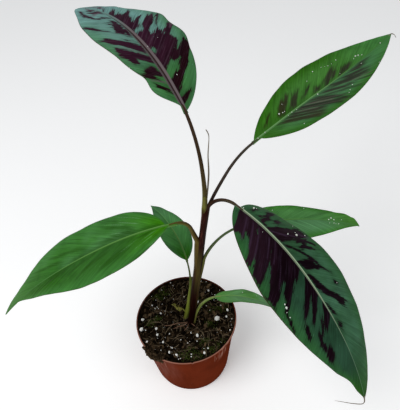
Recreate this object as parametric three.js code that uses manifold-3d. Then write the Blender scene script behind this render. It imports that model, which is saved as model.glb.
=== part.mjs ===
import * as THREE from 'three';
import { mergeVertices } from 'three/addons/utils/BufferGeometryUtils.js';
import Module from 'manifold-3d';

// Blood banana, a young banana plant with blotched leaves, standing in the soil of a round nursery pot.
// Millimetres, +Z up. The origin is the middle of the pot's base, on the surface that it stands on.

// Pot
const POT_HEIGHT = 82;
const RIM_RADIUS = 52.5;
const BASE_RADIUS = 41;
const POT_WALL = 1;
const POT_FLOOR = 1.8;
const LIP_OVERHANG = 2.0;
const LIP_HEIGHT = 2.8;
const LIP_THICKNESS = 1.1;
const POT_SEGMENTS = 64;
const DRAIN_HOLES = { count: 8, radius: 4, circle: 29 };
const FLUTES = {
  groups: 5, first: -125, perGroup: 3, spacing: 6, radius: 0.85, footRadius: 0.6, proud: 0.6, length: 24,
};

// Soil
const SOIL_LEVEL = 77;
const SOIL_EDGE = 81;
const GAP = 0.3;
const SOIL_RINGS = 7;
const CLUMP = { angle: -133, circle: 48, height: 79.5, along: 14, across: 7.5, up: 4.5 };
const PERLITE = [
  { x: 32, y: -4, size: 6 }, { x: 44, y: 5, size: 3.4 }, { x: 42, y: -3, size: 3.2 },
  { x: 26, y: 32, size: 3.4 }, { x: 10, y: -21, size: 4 }, { x: -32, y: -8, size: 3.4 },
  { x: -31, y: -16, size: 2.8 }, { x: -45, y: 3, size: 4.2 }, { x: -41, y: -21, size: 3.2 },
  { x: -17, y: -36, size: 3.2 }, { x: -11, y: -40, size: 3.8 }, { x: 16, y: -42, size: 3.6 },
  { x: -27, y: 10, size: 2.6 }, { x: 12, y: 17, size: 2.8 },
];
const CRUMBS = { count: 28, smallest: 3, largest: 6.5, seed: 7 };

// False stem, from its buried foot to the fork
const STEM = { foot: [2.3, -3.4, 62], length: 187, heading: 0, pitch: 81.2 };
const STEM_RADIUS = [4.6, 4.2, 3.8, 3.4, 3.2, 2.8, 3];
const STEM_SIDES = 16;
const STEM_STEPS = 12;
const ROOT_DEPTH = 5;

// Dried thread that stands up from the fork
const THREAD_ROUTE = [
  [31.4, -1.2, 247.8], [33.3, -0.6, 262], [35.1, 0, 279], [35.6, 0, 296], [37.1, 0, 311], [36.8, 0, 316],
  [35.4, 0, 319.5],
];
const THREAD_RADIUS = [0.65, 0.5, 0.4];
const TIP_THREAD_RADIUS = [0.5, 0.4, 0.35];

// Leaves. A petiole or a midrib is a run of arcs: its heading (degrees from +X, anticlockwise from above) and
// its pitch (degrees above level) are given at even steps from its start to its end. Roll turns a blade about
// its midrib, cup lifts both halves, and droop lets a half sag towards its margin. A half's outline widens
// with the power 'swell' from its start and closes with the power 'taper' at the tip.
const LEAVES = [
  {
    name: 'top_left',
    start: [29.6, -3.4, 246.5],
    petiole: { length: 84.2, heading: [122, 110, 116], pitch: [101, 80, 47], radius: [2.3, 1.7, 1.35, 1.25] },
    stub: 14,
    blade: { length: 166, heading: [116, 123, 125, 132], pitch: [47, 22, -3, -23], roll: [-3, 1, 12], cup: 13 },
    left: {
      width: 60.9, swell: 1.35, taper: 1.13, from: 0.007, droop: 0.22,
      lobes: [
        { at: 0.13, reach: 0.1, out: 6.2 }, { at: 0.28, reach: 0.1, out: 1.4 },
        { at: 0.42, reach: 0.12, out: -0.8 }, { at: 0.75, reach: 0.15, out: -2.4 },
      ],
    },
    right: {
      width: 61.8, swell: 0.79, taper: 1.3, from: 0.007, droop: 0.18,
      lobes: [
        { at: 0.335, reach: 0.08, out: 2.5 }, { at: 0.52, reach: 0.09, out: 3 },
        { at: 0.68, reach: 0.1, out: -3.8 }, { at: 0.85, reach: 0.12, out: 3.3 },
      ],
    },
    ripple: { height: 0.5, waves: 3.5 },
    stations: 32,
    colour: 0x3c6a57,
    stalkColour: 0x3a2722,
  },
  {
    name: 'top_right',
    start: [32.8, -3.4, 246.1],
    petiole: { length: 63.5, heading: [25, 38, 34], pitch: [61, 41, 11], radius: [1.45, 1.2, 1.05] },
    stub: 10,
    blade: { length: 173.5, heading: [34, 35.5, 38], pitch: [11, 7.5, 12], roll: [-5, 1, -9], cup: 13 },
    left: { width: 60.7, swell: 0.84, taper: 0.93, from: 0.008, droop: 0.06 },
    right: {
      width: 60.3, swell: 0.62, taper: 0.96, from: 0.042, droop: 0.05,
      lobes: [{ at: 0.15, reach: 0.15, out: 2.3 }],
    },
    ripple: { height: 0.8, waves: 3 },
    stations: 24,
    tipThread: [[0, 0, 0], [3, 0, -1.2], [5, 0, -4]],
    colour: 0x2f6e2b,
    stalkColour: 0x33251f,
  },
  {
    name: 'front_right',
    start: [32.3, -3.4, 245],
    petiole: { length: 29.8, heading: [-15, -28, -42], pitch: [65, 26, -17], radius: [1.7, 1.45, 1.35] },
    stub: 9,
    blade: {
      length: 203, heading: [-42, -46, -51.5, -55.5], pitch: [-17, -39.5, -53, -70.5],
      roll: [-18, 1, 5], cup: 0,
    },
    left: {
      width: 71.5, swell: 0.35, taper: 0.79, from: 0.018, droop: 0.22,
      lobes: [{ at: 0.15, reach: 0.15, out: -2.4 }, { at: 0.5, reach: 0.25, out: 2.8 }],
    },
    right: {
      width: 72.8, swell: 0.61, taper: 1.11, from: 0, droop: 0.25,
      lobes: [{ at: 0.87, reach: 0.08, out: -2.1 }],
    },
    ripple: { height: 0.8, waves: 3 },
    stations: 26,
    tipThread: [[0, 0, 0], [1, 0, -7], [-0.5, 0.5, -11.5], [-8, 1.5, -11], [-16, 3, -9.5], [-23, 4, -7.5]],
    colour: 0x24503f,
    stalkColour: 0x3b2a22,
  },
  {
    name: 'right',
    start: [24.6, -3.4, 179],
    petiole: { length: 53.2, heading: [19, 17, 8], pitch: [67, 36, -1], radius: [1.6, 1.15, 1.05] },
    stub: 9,
    blade: { length: 113.5, heading: [8, 7, -0.5], pitch: [-1, -16, -25.5], roll: [10, 5, 13], cup: 3 },
    left: {
      width: 36.5, swell: 0.35, taper: 0.71, from: 0, droop: 0.12,
      lobes: [{ at: 0.5, reach: 0.3, out: -1 }, { at: 0.9, reach: 0.12, out: 3.3 }],
    },
    right: {
      width: 43.5, swell: 0.51, taper: 1.28, from: 0.011, droop: 0.19,
      lobes: [{ at: 0.6, reach: 0.25, out: 0.7 }],
    },
    ripple: { height: 0.5, waves: 2.5 },
    stations: 20,
    colour: 0x2f6a38,
    stalkColour: 0x47502f,
  },
  {
    name: 'left',
    start: [20.8, -3.4, 204.6],
    petiole: { length: 32.5, heading: [171, 170, 193], pitch: [89, 69, 5], radius: [2.1, 1.6, 1.35] },
    stub: 12,
    blade: {
      length: 183, heading: [193, 188, 187.5, 189.5], pitch: [5, -18.5, -30, -45],
      roll: [2, -4, -2], cup: 10,
    },
    left: {
      width: 64.3, swell: 0.9, taper: 1.78, from: 0.038, droop: 0.11,
      lobes: [
        { at: 0.12, reach: 0.1, out: -0.7 }, { at: 0.4, reach: 0.2, out: 0.9 },
        { at: 0.9, reach: 0.15, out: -3 },
      ],
    },
    right: {
      width: 61.6, swell: 0.49, taper: 1.01, from: 0.056, droop: 0.15,
      lobes: [{ at: 0.65, reach: 0.2, out: 5.8 }, { at: 0.93, reach: 0.1, out: 2.1 }],
    },
    ripple: { height: 0.8, waves: 3 },
    stations: 24,
    colour: 0x2a6a2e,
    stalkColour: 0x4c4a22,
  },
  {
    name: 'small_back',
    start: [-3.2, 1, 77],
    petiole: {
      length: 72.4, heading: [20, 61, 110], pitch: [66, 70, 61],
      radius: [1.9, 2.3, 2.3, 1.3, 0.85, 0.8],
    },
    stub: 0,
    blade: { length: 70.5, heading: [110, 122.5, 132.5], pitch: [61, 30.5, 3], roll: [18, 2, 12], cup: 10 },
    left: { width: 31.7, swell: 0.9, taper: 1.15, from: 0.024, droop: 0.07 },
    right: {
      width: 30.6, swell: 0.7, taper: 1.03, from: 0.019, droop: 0.14,
      lobes: [{ at: 0.9, reach: 0.12, out: 1.4 }],
    },
    ripple: { height: 0.4, waves: 2 },
    stations: 16,
    colour: 0x2c6a26,
    stalkColour: 0x5f6a2e,
  },
  {
    name: 'small_right',
    start: [8, -4.5, 78],
    petiole: { length: 46.6, heading: [29, 15, -9], pitch: [83, 62, 21], radius: [1.7, 1.45, 1.1] },
    stub: 24,
    blade: { length: 73.5, heading: [-9, -12.5, -13.5], pitch: [21, -16, -48], roll: [-11, -24, -25], cup: 9 },
    left: {
      width: 27.4, swell: 0.63, taper: 0.97, from: 0.001, droop: 0.17,
      lobes: [{ at: 0.2, reach: 0.2, out: -3 }],
    },
    right: {
      width: 21.6, swell: 0.58, taper: 1.22, from: 0.025, droop: 0.03,
      lobes: [{ at: 0.2, reach: 0.2, out: 2.8 }],
    },
    ripple: { height: 0.3, waves: 2 },
    stations: 16,
    colour: 0x3c7a3a,
    stalkColour: 0x5c6a33,
  },
];
const BLADE_THICKNESS = { middle: 0.9, margin: 0.7 };
const LEAST_HALF_WIDTH = 0.6;
const MIDRIB_TIP_DEPTH = 0.3;
const PANELS_PER_HALF = 3;
const PETIOLE_SIDES = 8;
const PETIOLE_STEPS = 14;

const wasm = await Module();
wasm.setup();

const UP = new THREE.Vector3(0, 0, 1);
const rad = THREE.MathUtils.degToRad;
const lerp = THREE.MathUtils.lerp;

// Repeatable draw of numbers from 0 to 1

function seededDraw(seed) {
  let state = seed;
  return () => {
    state = (state * 16807) % 2147483647;
    return state / 2147483647;
  };
}

// Value at u between evenly spaced knots

function between(knots, u) {
  const place = THREE.MathUtils.clamp(u, 0, 1) * (knots.length - 1);
  const index = Math.min(Math.floor(place), knots.length - 2);
  return lerp(knots[index], knots[index + 1], place - index);
}

function direction(heading, pitch) {
  const level = Math.cos(rad(pitch));
  const rise = Math.sin(rad(pitch));
  return new THREE.Vector3(level * Math.cos(rad(heading)), level * Math.sin(rad(heading)), rise);
}

// Points and directions along a run of arcs

function arcRun(start, { length, heading, pitch }, steps) {
  const tangentAt = (u) => direction(between(heading, u), between(pitch, u));
  const point = new THREE.Vector3(...start);
  const run = [{ u: 0, point: point.clone(), tangent: tangentAt(0) }];
  for (let i = 1; i <= steps; i += 1) {
    point.addScaledVector(tangentAt((i - 0.5) / steps), length / steps);
    run.push({ u: i / steps, point: point.clone(), tangent: tangentAt(i / steps) });
  }
  return run;
}

// Geometry from shared points and triangles

function meshOf(points, triangles) {
  const geometry = new THREE.BufferGeometry();
  const flat = points.flatMap((p) => [p.x, p.y, p.z]);
  geometry.setAttribute('position', new THREE.Float32BufferAttribute(flat, 3));
  geometry.setIndex(triangles.flat());
  return geometry;
}

// Closed round tube through the points of a run, with the radius at each point

function tube(run, radiusAt, sides) {
  const points = [];
  const triangles = [];
  const side = new THREE.Vector3().crossVectors(UP, run[0].tangent);
  if (side.lengthSq() < 1e-4) side.set(0, 1, 0);
  run.forEach((station) => {
    side.addScaledVector(station.tangent, -side.dot(station.tangent)).normalize();
    const over = new THREE.Vector3().crossVectors(station.tangent, side);
    const radius = radiusAt(station.u);
    for (let k = 0; k < sides; k += 1) {
      const angle = (2 * Math.PI * k) / sides;
      const spoke = side.clone().multiplyScalar(Math.cos(angle)).addScaledVector(over, Math.sin(angle));
      points.push(station.point.clone().addScaledVector(spoke, radius));
    }
  });
  for (let i = 0; i < run.length - 1; i += 1) {
    for (let k = 0; k < sides; k += 1) {
      const a = i * sides + k;
      const b = i * sides + ((k + 1) % sides);
      triangles.push([a, b, b + sides], [a, b + sides, a + sides]);
    }
  }
  const last = (run.length - 1) * sides;
  for (let k = 1; k < sides - 1; k += 1) {
    triangles.push([0, k + 1, k], [last, last + k, last + k + 1]);
  }
  return meshOf(points, triangles);
}

// Closed sheet between a grid of upper points and a grid of lower points, split alike on both faces

function sheet(upper, lower) {
  const rows = upper.length;
  const columns = upper[0].length;
  const size = rows * columns;
  const at = (i, j) => i * columns + j;
  const triangles = [];
  for (let i = 0; i < rows - 1; i += 1) {
    for (let j = 0; j < columns - 1; j += 1) {
      const [a, b, c, d] = [at(i, j), at(i + 1, j), at(i + 1, j + 1), at(i, j + 1)];
      triangles.push([a, b, c], [a, c, d]);
      triangles.push([a + size, c + size, b + size], [a + size, d + size, c + size]);
    }
  }
  const edge = [];
  for (let i = 0; i < rows - 1; i += 1) edge.push(at(i, 0));
  for (let j = 0; j < columns - 1; j += 1) edge.push(at(rows - 1, j));
  for (let i = rows - 1; i > 0; i -= 1) edge.push(at(i, columns - 1));
  for (let j = columns - 1; j > 0; j -= 1) edge.push(at(0, j));
  edge.forEach((a, k) => {
    const b = edge[(k + 1) % edge.length];
    triangles.push([a, b + size, b], [a, a + size, b + size]);
  });
  return meshOf([...upper.flat(), ...lower.flat()], triangles);
}

// Solid for a cut or a join

function solid(geometry) {
  const bare = geometry.clone();
  bare.deleteAttribute('normal');
  bare.deleteAttribute('uv');
  const merged = mergeVertices(bare, 1e-4);
  const index = merged.index.array;
  const kept = [];
  for (let i = 0; i < index.length; i += 3) {
    const [a, b, c] = [index[i], index[i + 1], index[i + 2]];
    if (a !== b && b !== c && c !== a) kept.push(a, b, c);
  }
  const vertProperties = new Float32Array(merged.attributes.position.array);
  return new wasm.Manifold(new wasm.Mesh({ numProp: 3, vertProperties, triVerts: new Uint32Array(kept) }));
}

function geometryOf(manifold) {
  const { vertProperties, triVerts, numProp } = manifold.getMesh();
  const geometry = new THREE.BufferGeometry();
  const flat = [];
  for (let i = 0; i < vertProperties.length; i += numProp) flat.push(...vertProperties.slice(i, i + 3));
  geometry.setAttribute('position', new THREE.Float32BufferAttribute(flat, 3));
  geometry.setIndex([...triVerts]);
  return geometry;
}

// Shape turned round the pot's axis from a profile of radius and height

function turned(profile) {
  const points = profile.map(([radius, height]) => new THREE.Vector2(radius, height));
  return new THREE.LatheGeometry(points, POT_SEGMENTS).rotateX(Math.PI / 2);
}

const WALL_TOP_RADIUS = RIM_RADIUS - LIP_OVERHANG;
const INNER_RIM_RADIUS = RIM_RADIUS - LIP_THICKNESS;
const LIP_BOTTOM = POT_HEIGHT - LIP_HEIGHT;
const LEDGE = LIP_BOTTOM + POT_WALL;

function outerWall(height) {
  return lerp(BASE_RADIUS, WALL_TOP_RADIUS, height / LIP_BOTTOM);
}

function pot() {
  const edge = 1.4;
  const round = LIP_THICKNESS / 3;
  const body = turned([
    [0, 0], [BASE_RADIUS - edge, 0], [BASE_RADIUS, edge], [WALL_TOP_RADIUS, LIP_BOTTOM],
    [RIM_RADIUS - round, LIP_BOTTOM + round], [RIM_RADIUS, LIP_BOTTOM + 2 * round],
    [RIM_RADIUS, POT_HEIGHT - round], [RIM_RADIUS - round, POT_HEIGHT],
    [INNER_RIM_RADIUS + round, POT_HEIGHT], [INNER_RIM_RADIUS, POT_HEIGHT - round],
    [INNER_RIM_RADIUS, LEDGE + round], [INNER_RIM_RADIUS - round, LEDGE],
    [WALL_TOP_RADIUS - POT_WALL, LEDGE - round], [BASE_RADIUS - POT_WALL, POT_FLOOR], [0, POT_FLOOR],
  ]);
  let result = solid(body);
  const { count, radius, circle } = DRAIN_HOLES;
  for (let k = 0; k < count; k += 1) {
    const angle = (2 * Math.PI * k) / count;
    const hole = new THREE.CylinderGeometry(radius, radius, 4 * POT_FLOOR, 12).rotateX(Math.PI / 2);
    result = result.subtract(solid(hole.translate(circle * Math.cos(angle), circle * Math.sin(angle), 0)));
  }
  const lean = Math.atan2(WALL_TOP_RADIUS - BASE_RADIUS, LIP_BOTTOM);
  for (let group = 0; group < FLUTES.groups; group += 1) {
    for (let k = 0; k < FLUTES.perGroup; k += 1) {
      const offset = (k - (FLUTES.perGroup - 1) / 2) * FLUTES.spacing;
      const angle = rad(FLUTES.first + (360 * group) / FLUTES.groups + offset);
      const height = LIP_BOTTOM - FLUTES.length / 2;
      const bar = new THREE.CylinderGeometry(FLUTES.radius, FLUTES.footRadius, FLUTES.length, 6, 1);
      bar.rotateX(Math.PI / 2).rotateY(lean);
      bar.translate(outerWall(height) + FLUTES.proud - FLUTES.radius, 0, height - 0.6).rotateZ(angle);
      result = result.add(solid(bar));
    }
  }
  return geometryOf(result);
}

// Height of the soil at a place: low lumps, a heap round the stem and a bank that rises to the rim

function soilHeight(x, y) {
  const lumps = 0.9 * Math.sin(0.21 * x + 1.3) * Math.cos(0.17 * y - 0.4)
    + 0.7 * Math.sin(0.47 * x - 0.31 * y) + 0.5 * Math.cos(0.63 * y + 0.4 * x + 2);
  const heap = 1.6 * Math.exp(-((x - 5) ** 2 + (y + 3) ** 2) / 260);
  const out = Math.min(Math.hypot(x, y) / (INNER_RIM_RADIUS - GAP), 1) ** 4;
  return lerp(SOIL_LEVEL + lumps + heap, SOIL_EDGE, out);
}

function soilBody() {
  const edge = INNER_RIM_RADIUS - GAP;
  const profile = [
    [0, POT_FLOOR + GAP], [BASE_RADIUS - POT_WALL - GAP, POT_FLOOR + GAP],
    [WALL_TOP_RADIUS - POT_WALL - GAP, LEDGE], [edge, LEDGE + 2 * GAP], [edge, SOIL_EDGE],
  ];
  const corners = profile.length;
  for (let ring = 1; ring <= SOIL_RINGS; ring += 1) profile.push([edge * (1 - ring / SOIL_RINGS), SOIL_EDGE]);
  const geometry = turned(profile);
  const position = geometry.attributes.position;
  for (let i = 0; i < position.count; i += 1) {
    if (i % profile.length >= corners) {
      position.setZ(i, soilHeight(position.getX(i), position.getY(i)));
    }
  }
  return solid(geometry);
}

// Rough lump of soil, bark or perlite

function lump(size, x, y, z, draw) {
  const shape = new THREE.IcosahedronGeometry(size / 2, 0);
  shape.scale(0.85 + 0.3 * draw(), 0.85 + 0.3 * draw(), 0.6 + 0.25 * draw());
  return shape.rotateX(draw() * Math.PI).rotateZ(draw() * Math.PI).translate(x, y, z);
}

function rimClump() {
  const shape = new THREE.IcosahedronGeometry(1, 2);
  const position = shape.attributes.position;
  for (let i = 0; i < position.count; i += 1) {
    const [x, y, z] = [position.getX(i), position.getY(i), position.getZ(i)];
    const rough = 1 + 0.12 * Math.sin(5 * x + 2 * z) + 0.1 * Math.cos(6 * y - 3 * x)
      + 0.08 * Math.sin(7 * z + 1);
    position.setXYZ(i, x * rough * CLUMP.across, y * rough * CLUMP.along, z * rough * CLUMP.up);
  }
  return shape.translate(CLUMP.circle, 0, CLUMP.height).rotateZ(rad(CLUMP.angle));
}

// Room that the pot's rim takes, with the gap round it

function rimRoom() {
  const low = LIP_BOTTOM - 9;
  const outside = FLUTES.proud + 2 * GAP;
  return turned([
    [outerWall(low) + outside, low], [outerWall(LIP_BOTTOM) + outside, LIP_BOTTOM - GAP],
    [RIM_RADIUS + GAP, LIP_BOTTOM - GAP], [RIM_RADIUS + GAP, POT_HEIGHT + GAP],
    [INNER_RIM_RADIUS - GAP, POT_HEIGHT + GAP], [INNER_RIM_RADIUS - GAP, LEDGE + 2 * GAP],
    [WALL_TOP_RADIUS - POT_WALL - GAP, LEDGE], [outerWall(low) - POT_WALL - GAP, low],
    [outerWall(low) + outside, low],
  ]);
}

function stemRun() {
  const { foot, length, heading, pitch } = STEM;
  return arcRun(foot, { length, heading: [heading, heading], pitch: [pitch, pitch] }, STEM_STEPS);
}

function stemTube(extra) {
  return tube(stemRun(), (u) => between(STEM_RADIUS, u) + extra, STEM_SIDES);
}

// Part of a leaf's petiole from one length along it to another, sunk backwards by a depth

function petioleTube(leaf, from, to, { sunk = 0, extra = 0, steps = PETIOLE_STEPS } = {}) {
  const { length, radius, heading, pitch } = leaf.petiole;
  const fine = 40;
  const whole = arcRun(leaf.start, leaf.petiole, fine);
  const along = (s) => {
    const place = THREE.MathUtils.clamp(s / length, 0, 1) * fine;
    const index = Math.min(Math.floor(place), fine - 1);
    const point = whole[index].point.clone().lerp(whole[index + 1].point, place - index);
    return { u: s / length, point, tangent: direction(between(heading, s / length), between(pitch, s / length)) };
  };
  const run = [];
  for (let i = 0; i <= steps; i += 1) run.push(along(lerp(from, to, i / steps)));
  if (sunk > 0) {
    const first = run[0];
    run.unshift({ u: 0, point: first.point.clone().addScaledVector(first.tangent, -sunk), tangent: first.tangent });
  }
  return tube(run, (u) => between(radius, u) + extra, PETIOLE_SIDES);
}

function soil() {
  const draw = seededDraw(CRUMBS.seed);
  let result = soilBody().add(solid(rimClump()));
  PERLITE.forEach(({ x, y, size }) => {
    result = result.add(solid(lump(size, x, y, soilHeight(x, y) + 0.12 * size, draw)));
  });
  for (let k = 0; k < CRUMBS.count; k += 1) {
    const size = lerp(CRUMBS.smallest, CRUMBS.largest, draw());
    const circle = 6 + (INNER_RIM_RADIUS - 12) * Math.sqrt(draw());
    const angle = 2 * Math.PI * draw();
    const [x, y] = [circle * Math.cos(angle), circle * Math.sin(angle)];
    result = result.add(solid(lump(size, x, y, soilHeight(x, y) - 0.1 * size, draw)));
  }
  result = result.subtract(solid(rimRoom())).subtract(solid(stemTube(GAP)));
  const shoot = LEAVES.find((leaf) => leaf.name === 'small_back');
  const lowLeaf = LEAVES.find((leaf) => leaf.name === 'small_right');
  result = result.subtract(solid(petioleTube(shoot, 0, 30, { sunk: ROOT_DEPTH + GAP, extra: GAP })));
  result = result.subtract(solid(petioleTube(lowLeaf, 0, 30, { sunk: ROOT_DEPTH + GAP, extra: GAP })));
  const scraps = result.decompose().sort((a, b) => b.volume() - a.volume());
  return geometryOf(scraps[0]);
}

// False stem with the sheath mouths that the petioles leave from

function pseudostem() {
  let result = solid(stemTube(0));
  LEAVES.filter((leaf) => leaf.stub > 0).forEach((leaf) => {
    const stub = petioleTube(leaf, 0, leaf.stub, { sunk: ROOT_DEPTH, steps: 5 });
    result = result.add(solid(stub));
  });
  return geometryOf(result);
}

function petiole(leaf) {
  const from = leaf.stub > 0 ? leaf.stub + GAP : 0;
  const sunk = leaf.stub > 0 ? 0 : ROOT_DEPTH;
  return petioleTube(leaf, from, leaf.petiole.length - GAP, { sunk });
}

// Smooth local swelling or dip of a margin

function lobe({ at, reach, out }, u) {
  const fall = Math.max(0, 1 - ((u - at) / reach) ** 2);
  return out * fall * fall;
}

function halfWidth({ width, swell, taper, from, lobes = [] }, u) {
  const t = THREE.MathUtils.clamp((u - from) / (1 - from), 0, 1);
  const widest = swell / (swell + taper);
  const plain = (width / 2) * (t / widest) ** swell * ((1 - t) / (1 - widest)) ** taper;
  return lobes.reduce((sum, one) => sum + lobe(one, u), plain);
}

// Upper and lower points of a blade across one station, from the right margin to the left

function crossing(leaf, station, ribRadius) {
  const { blade, ripple } = leaf;
  const { u, point, tangent } = station;
  const level = new THREE.Vector3().crossVectors(UP, tangent).normalize();
  const over = new THREE.Vector3().crossVectors(tangent, level);
  const roll = rad(between(blade.roll, u));
  const side = level.clone().multiplyScalar(Math.cos(roll)).addScaledVector(over, Math.sin(roll));
  const normal = level.clone().multiplyScalar(-Math.sin(roll)).addScaledVector(over, Math.cos(roll));
  const place = (half, sign, distance, width) => {
    const v = distance / width;
    const wave = ripple.height * v * v * Math.sin(Math.PI * u) * Math.sin(2 * Math.PI * ripple.waves * u + sign);
    const lift = distance * Math.sin(rad(blade.cup)) - half.droop * width * v * v + wave;
    const across = distance * Math.cos(rad(blade.cup));
    return point.clone().addScaledVector(side, sign * across).addScaledVector(normal, lift);
  };
  const upper = [];
  const lower = [];
  const add = (centre, thickness, keel) => {
    upper.push(centre.clone().addScaledVector(normal, thickness / 2));
    lower.push(centre.clone().addScaledVector(normal, -thickness / 2 - keel));
  };
  const keel = lerp(2 * ribRadius - BLADE_THICKNESS.middle, MIDRIB_TIP_DEPTH, u ** 0.7);
  const addHalf = (half, sign) => {
    const width = Math.max(halfWidth(half, u), LEAST_HALF_WIDTH + (1 - u) ** 8 * ribRadius);
    const rib = Math.min(lerp(ribRadius, 0.5, u), 0.6 * width);
    const steps = [];
    for (let k = 0; k <= PANELS_PER_HALF; k += 1) steps.push(lerp(rib, width, k / PANELS_PER_HALF));
    if (sign < 0) steps.reverse();
    steps.forEach((distance) => {
      const v = distance / width;
      add(place(half, sign, distance, width), lerp(BLADE_THICKNESS.middle, BLADE_THICKNESS.margin, v), 0);
    });
  };
  addHalf(leaf.right, -1);
  add(point, BLADE_THICKNESS.middle, keel);
  addHalf(leaf.left, 1);
  return { upper, lower };
}

function bladeRun(leaf) {
  const stalk = arcRun(leaf.start, leaf.petiole, 40);
  return arcRun(stalk[stalk.length - 1].point.toArray(), leaf.blade, leaf.stations);
}

// Thin dried thread that hangs on from a blade's tip

function tipThread(leaf, run) {
  const { point, tangent } = run[run.length - 1];
  const inside = point.clone().addScaledVector(tangent, -3);
  const route = leaf.tipThread.map((offset) => point.clone().add(new THREE.Vector3(...offset)));
  return threadTube([inside, ...route], TIP_THREAD_RADIUS, 6 * route.length);
}

function threadTube(route, radius, steps) {
  const curve = new THREE.CatmullRomCurve3(route);
  const run = [];
  for (let i = 0; i <= steps; i += 1) {
    const u = i / steps;
    run.push({ u, point: curve.getPointAt(u), tangent: curve.getTangentAt(u) });
  }
  return tube(run, (u) => between(radius, u), 6);
}

function blade(leaf) {
  const ribRadius = leaf.petiole.radius[leaf.petiole.radius.length - 1];
  const run = bladeRun(leaf);
  const rows = run.map((station) => crossing(leaf, station, ribRadius));
  const body = sheet(rows.map((row) => row.upper), rows.map((row) => row.lower));
  if (!leaf.tipThread) return body;
  return geometryOf(solid(body).add(solid(tipThread(leaf, run))));
}

function driedThread() {
  return threadTube(THREAD_ROUTE.map((p) => new THREE.Vector3(...p)), THREAD_RADIUS, 22);
}

const plant = new THREE.Group();

function add(name, geometry, color, roughness) {
  const mesh = new THREE.Mesh(geometry, new THREE.MeshStandardMaterial({ color, roughness, metalness: 0 }));
  mesh.name = name;
  plant.add(mesh);
}

add('pot', pot(), 0x6b2a1d, 0.5);
add('soil', soil(), 0x231c15, 0.95);
add('pseudostem', pseudostem(), 0x36201c, 0.5);
add('dried_thread', driedThread(), 0x7d7464, 0.8);
LEAVES.forEach((leaf) => {
  add(`petiole_${leaf.name}`, petiole(leaf), leaf.stalkColour, 0.5);
  add(`blade_${leaf.name}`, blade(leaf), leaf.colour, 0.45);
});

export default plant;
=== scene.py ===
import math
import random

import bmesh
import bpy
from bpy.props import FloatProperty, FloatVectorProperty, IntProperty, PointerProperty
from mathutils import Euler, Matrix, Vector, noise


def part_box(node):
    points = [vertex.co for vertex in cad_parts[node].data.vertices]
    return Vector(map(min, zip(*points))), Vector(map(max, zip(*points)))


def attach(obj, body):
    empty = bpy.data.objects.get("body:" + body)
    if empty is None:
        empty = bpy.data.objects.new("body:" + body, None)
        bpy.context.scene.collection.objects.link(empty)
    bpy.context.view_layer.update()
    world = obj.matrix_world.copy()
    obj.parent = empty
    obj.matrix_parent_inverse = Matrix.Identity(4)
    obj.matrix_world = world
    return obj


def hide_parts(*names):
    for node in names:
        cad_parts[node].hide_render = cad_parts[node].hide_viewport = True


bl_info = {
    "name": "Blood Banana Plant",
    "version": (1, 0, 0),
    "blender": (4, 5, 0),
    "location": "View3D > Sidebar > Banana",
    "description": "Young blotch-leaved banana plant in the soil of a round nursery pot",
    "category": "Add Mesh",
}

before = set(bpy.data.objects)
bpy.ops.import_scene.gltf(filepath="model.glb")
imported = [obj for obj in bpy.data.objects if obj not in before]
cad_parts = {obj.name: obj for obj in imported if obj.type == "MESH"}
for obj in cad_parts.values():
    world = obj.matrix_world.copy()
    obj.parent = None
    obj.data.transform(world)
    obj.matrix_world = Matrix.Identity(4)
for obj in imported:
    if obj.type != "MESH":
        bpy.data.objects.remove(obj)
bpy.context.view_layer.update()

MM = 0.001
BODY = "root"

# Sizes in this file are millimetres and degrees, in the plant's own frame: +Z up, the origin in the middle of
# the pot's base. mesh_piece turns a finished mesh into metres.

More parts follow.
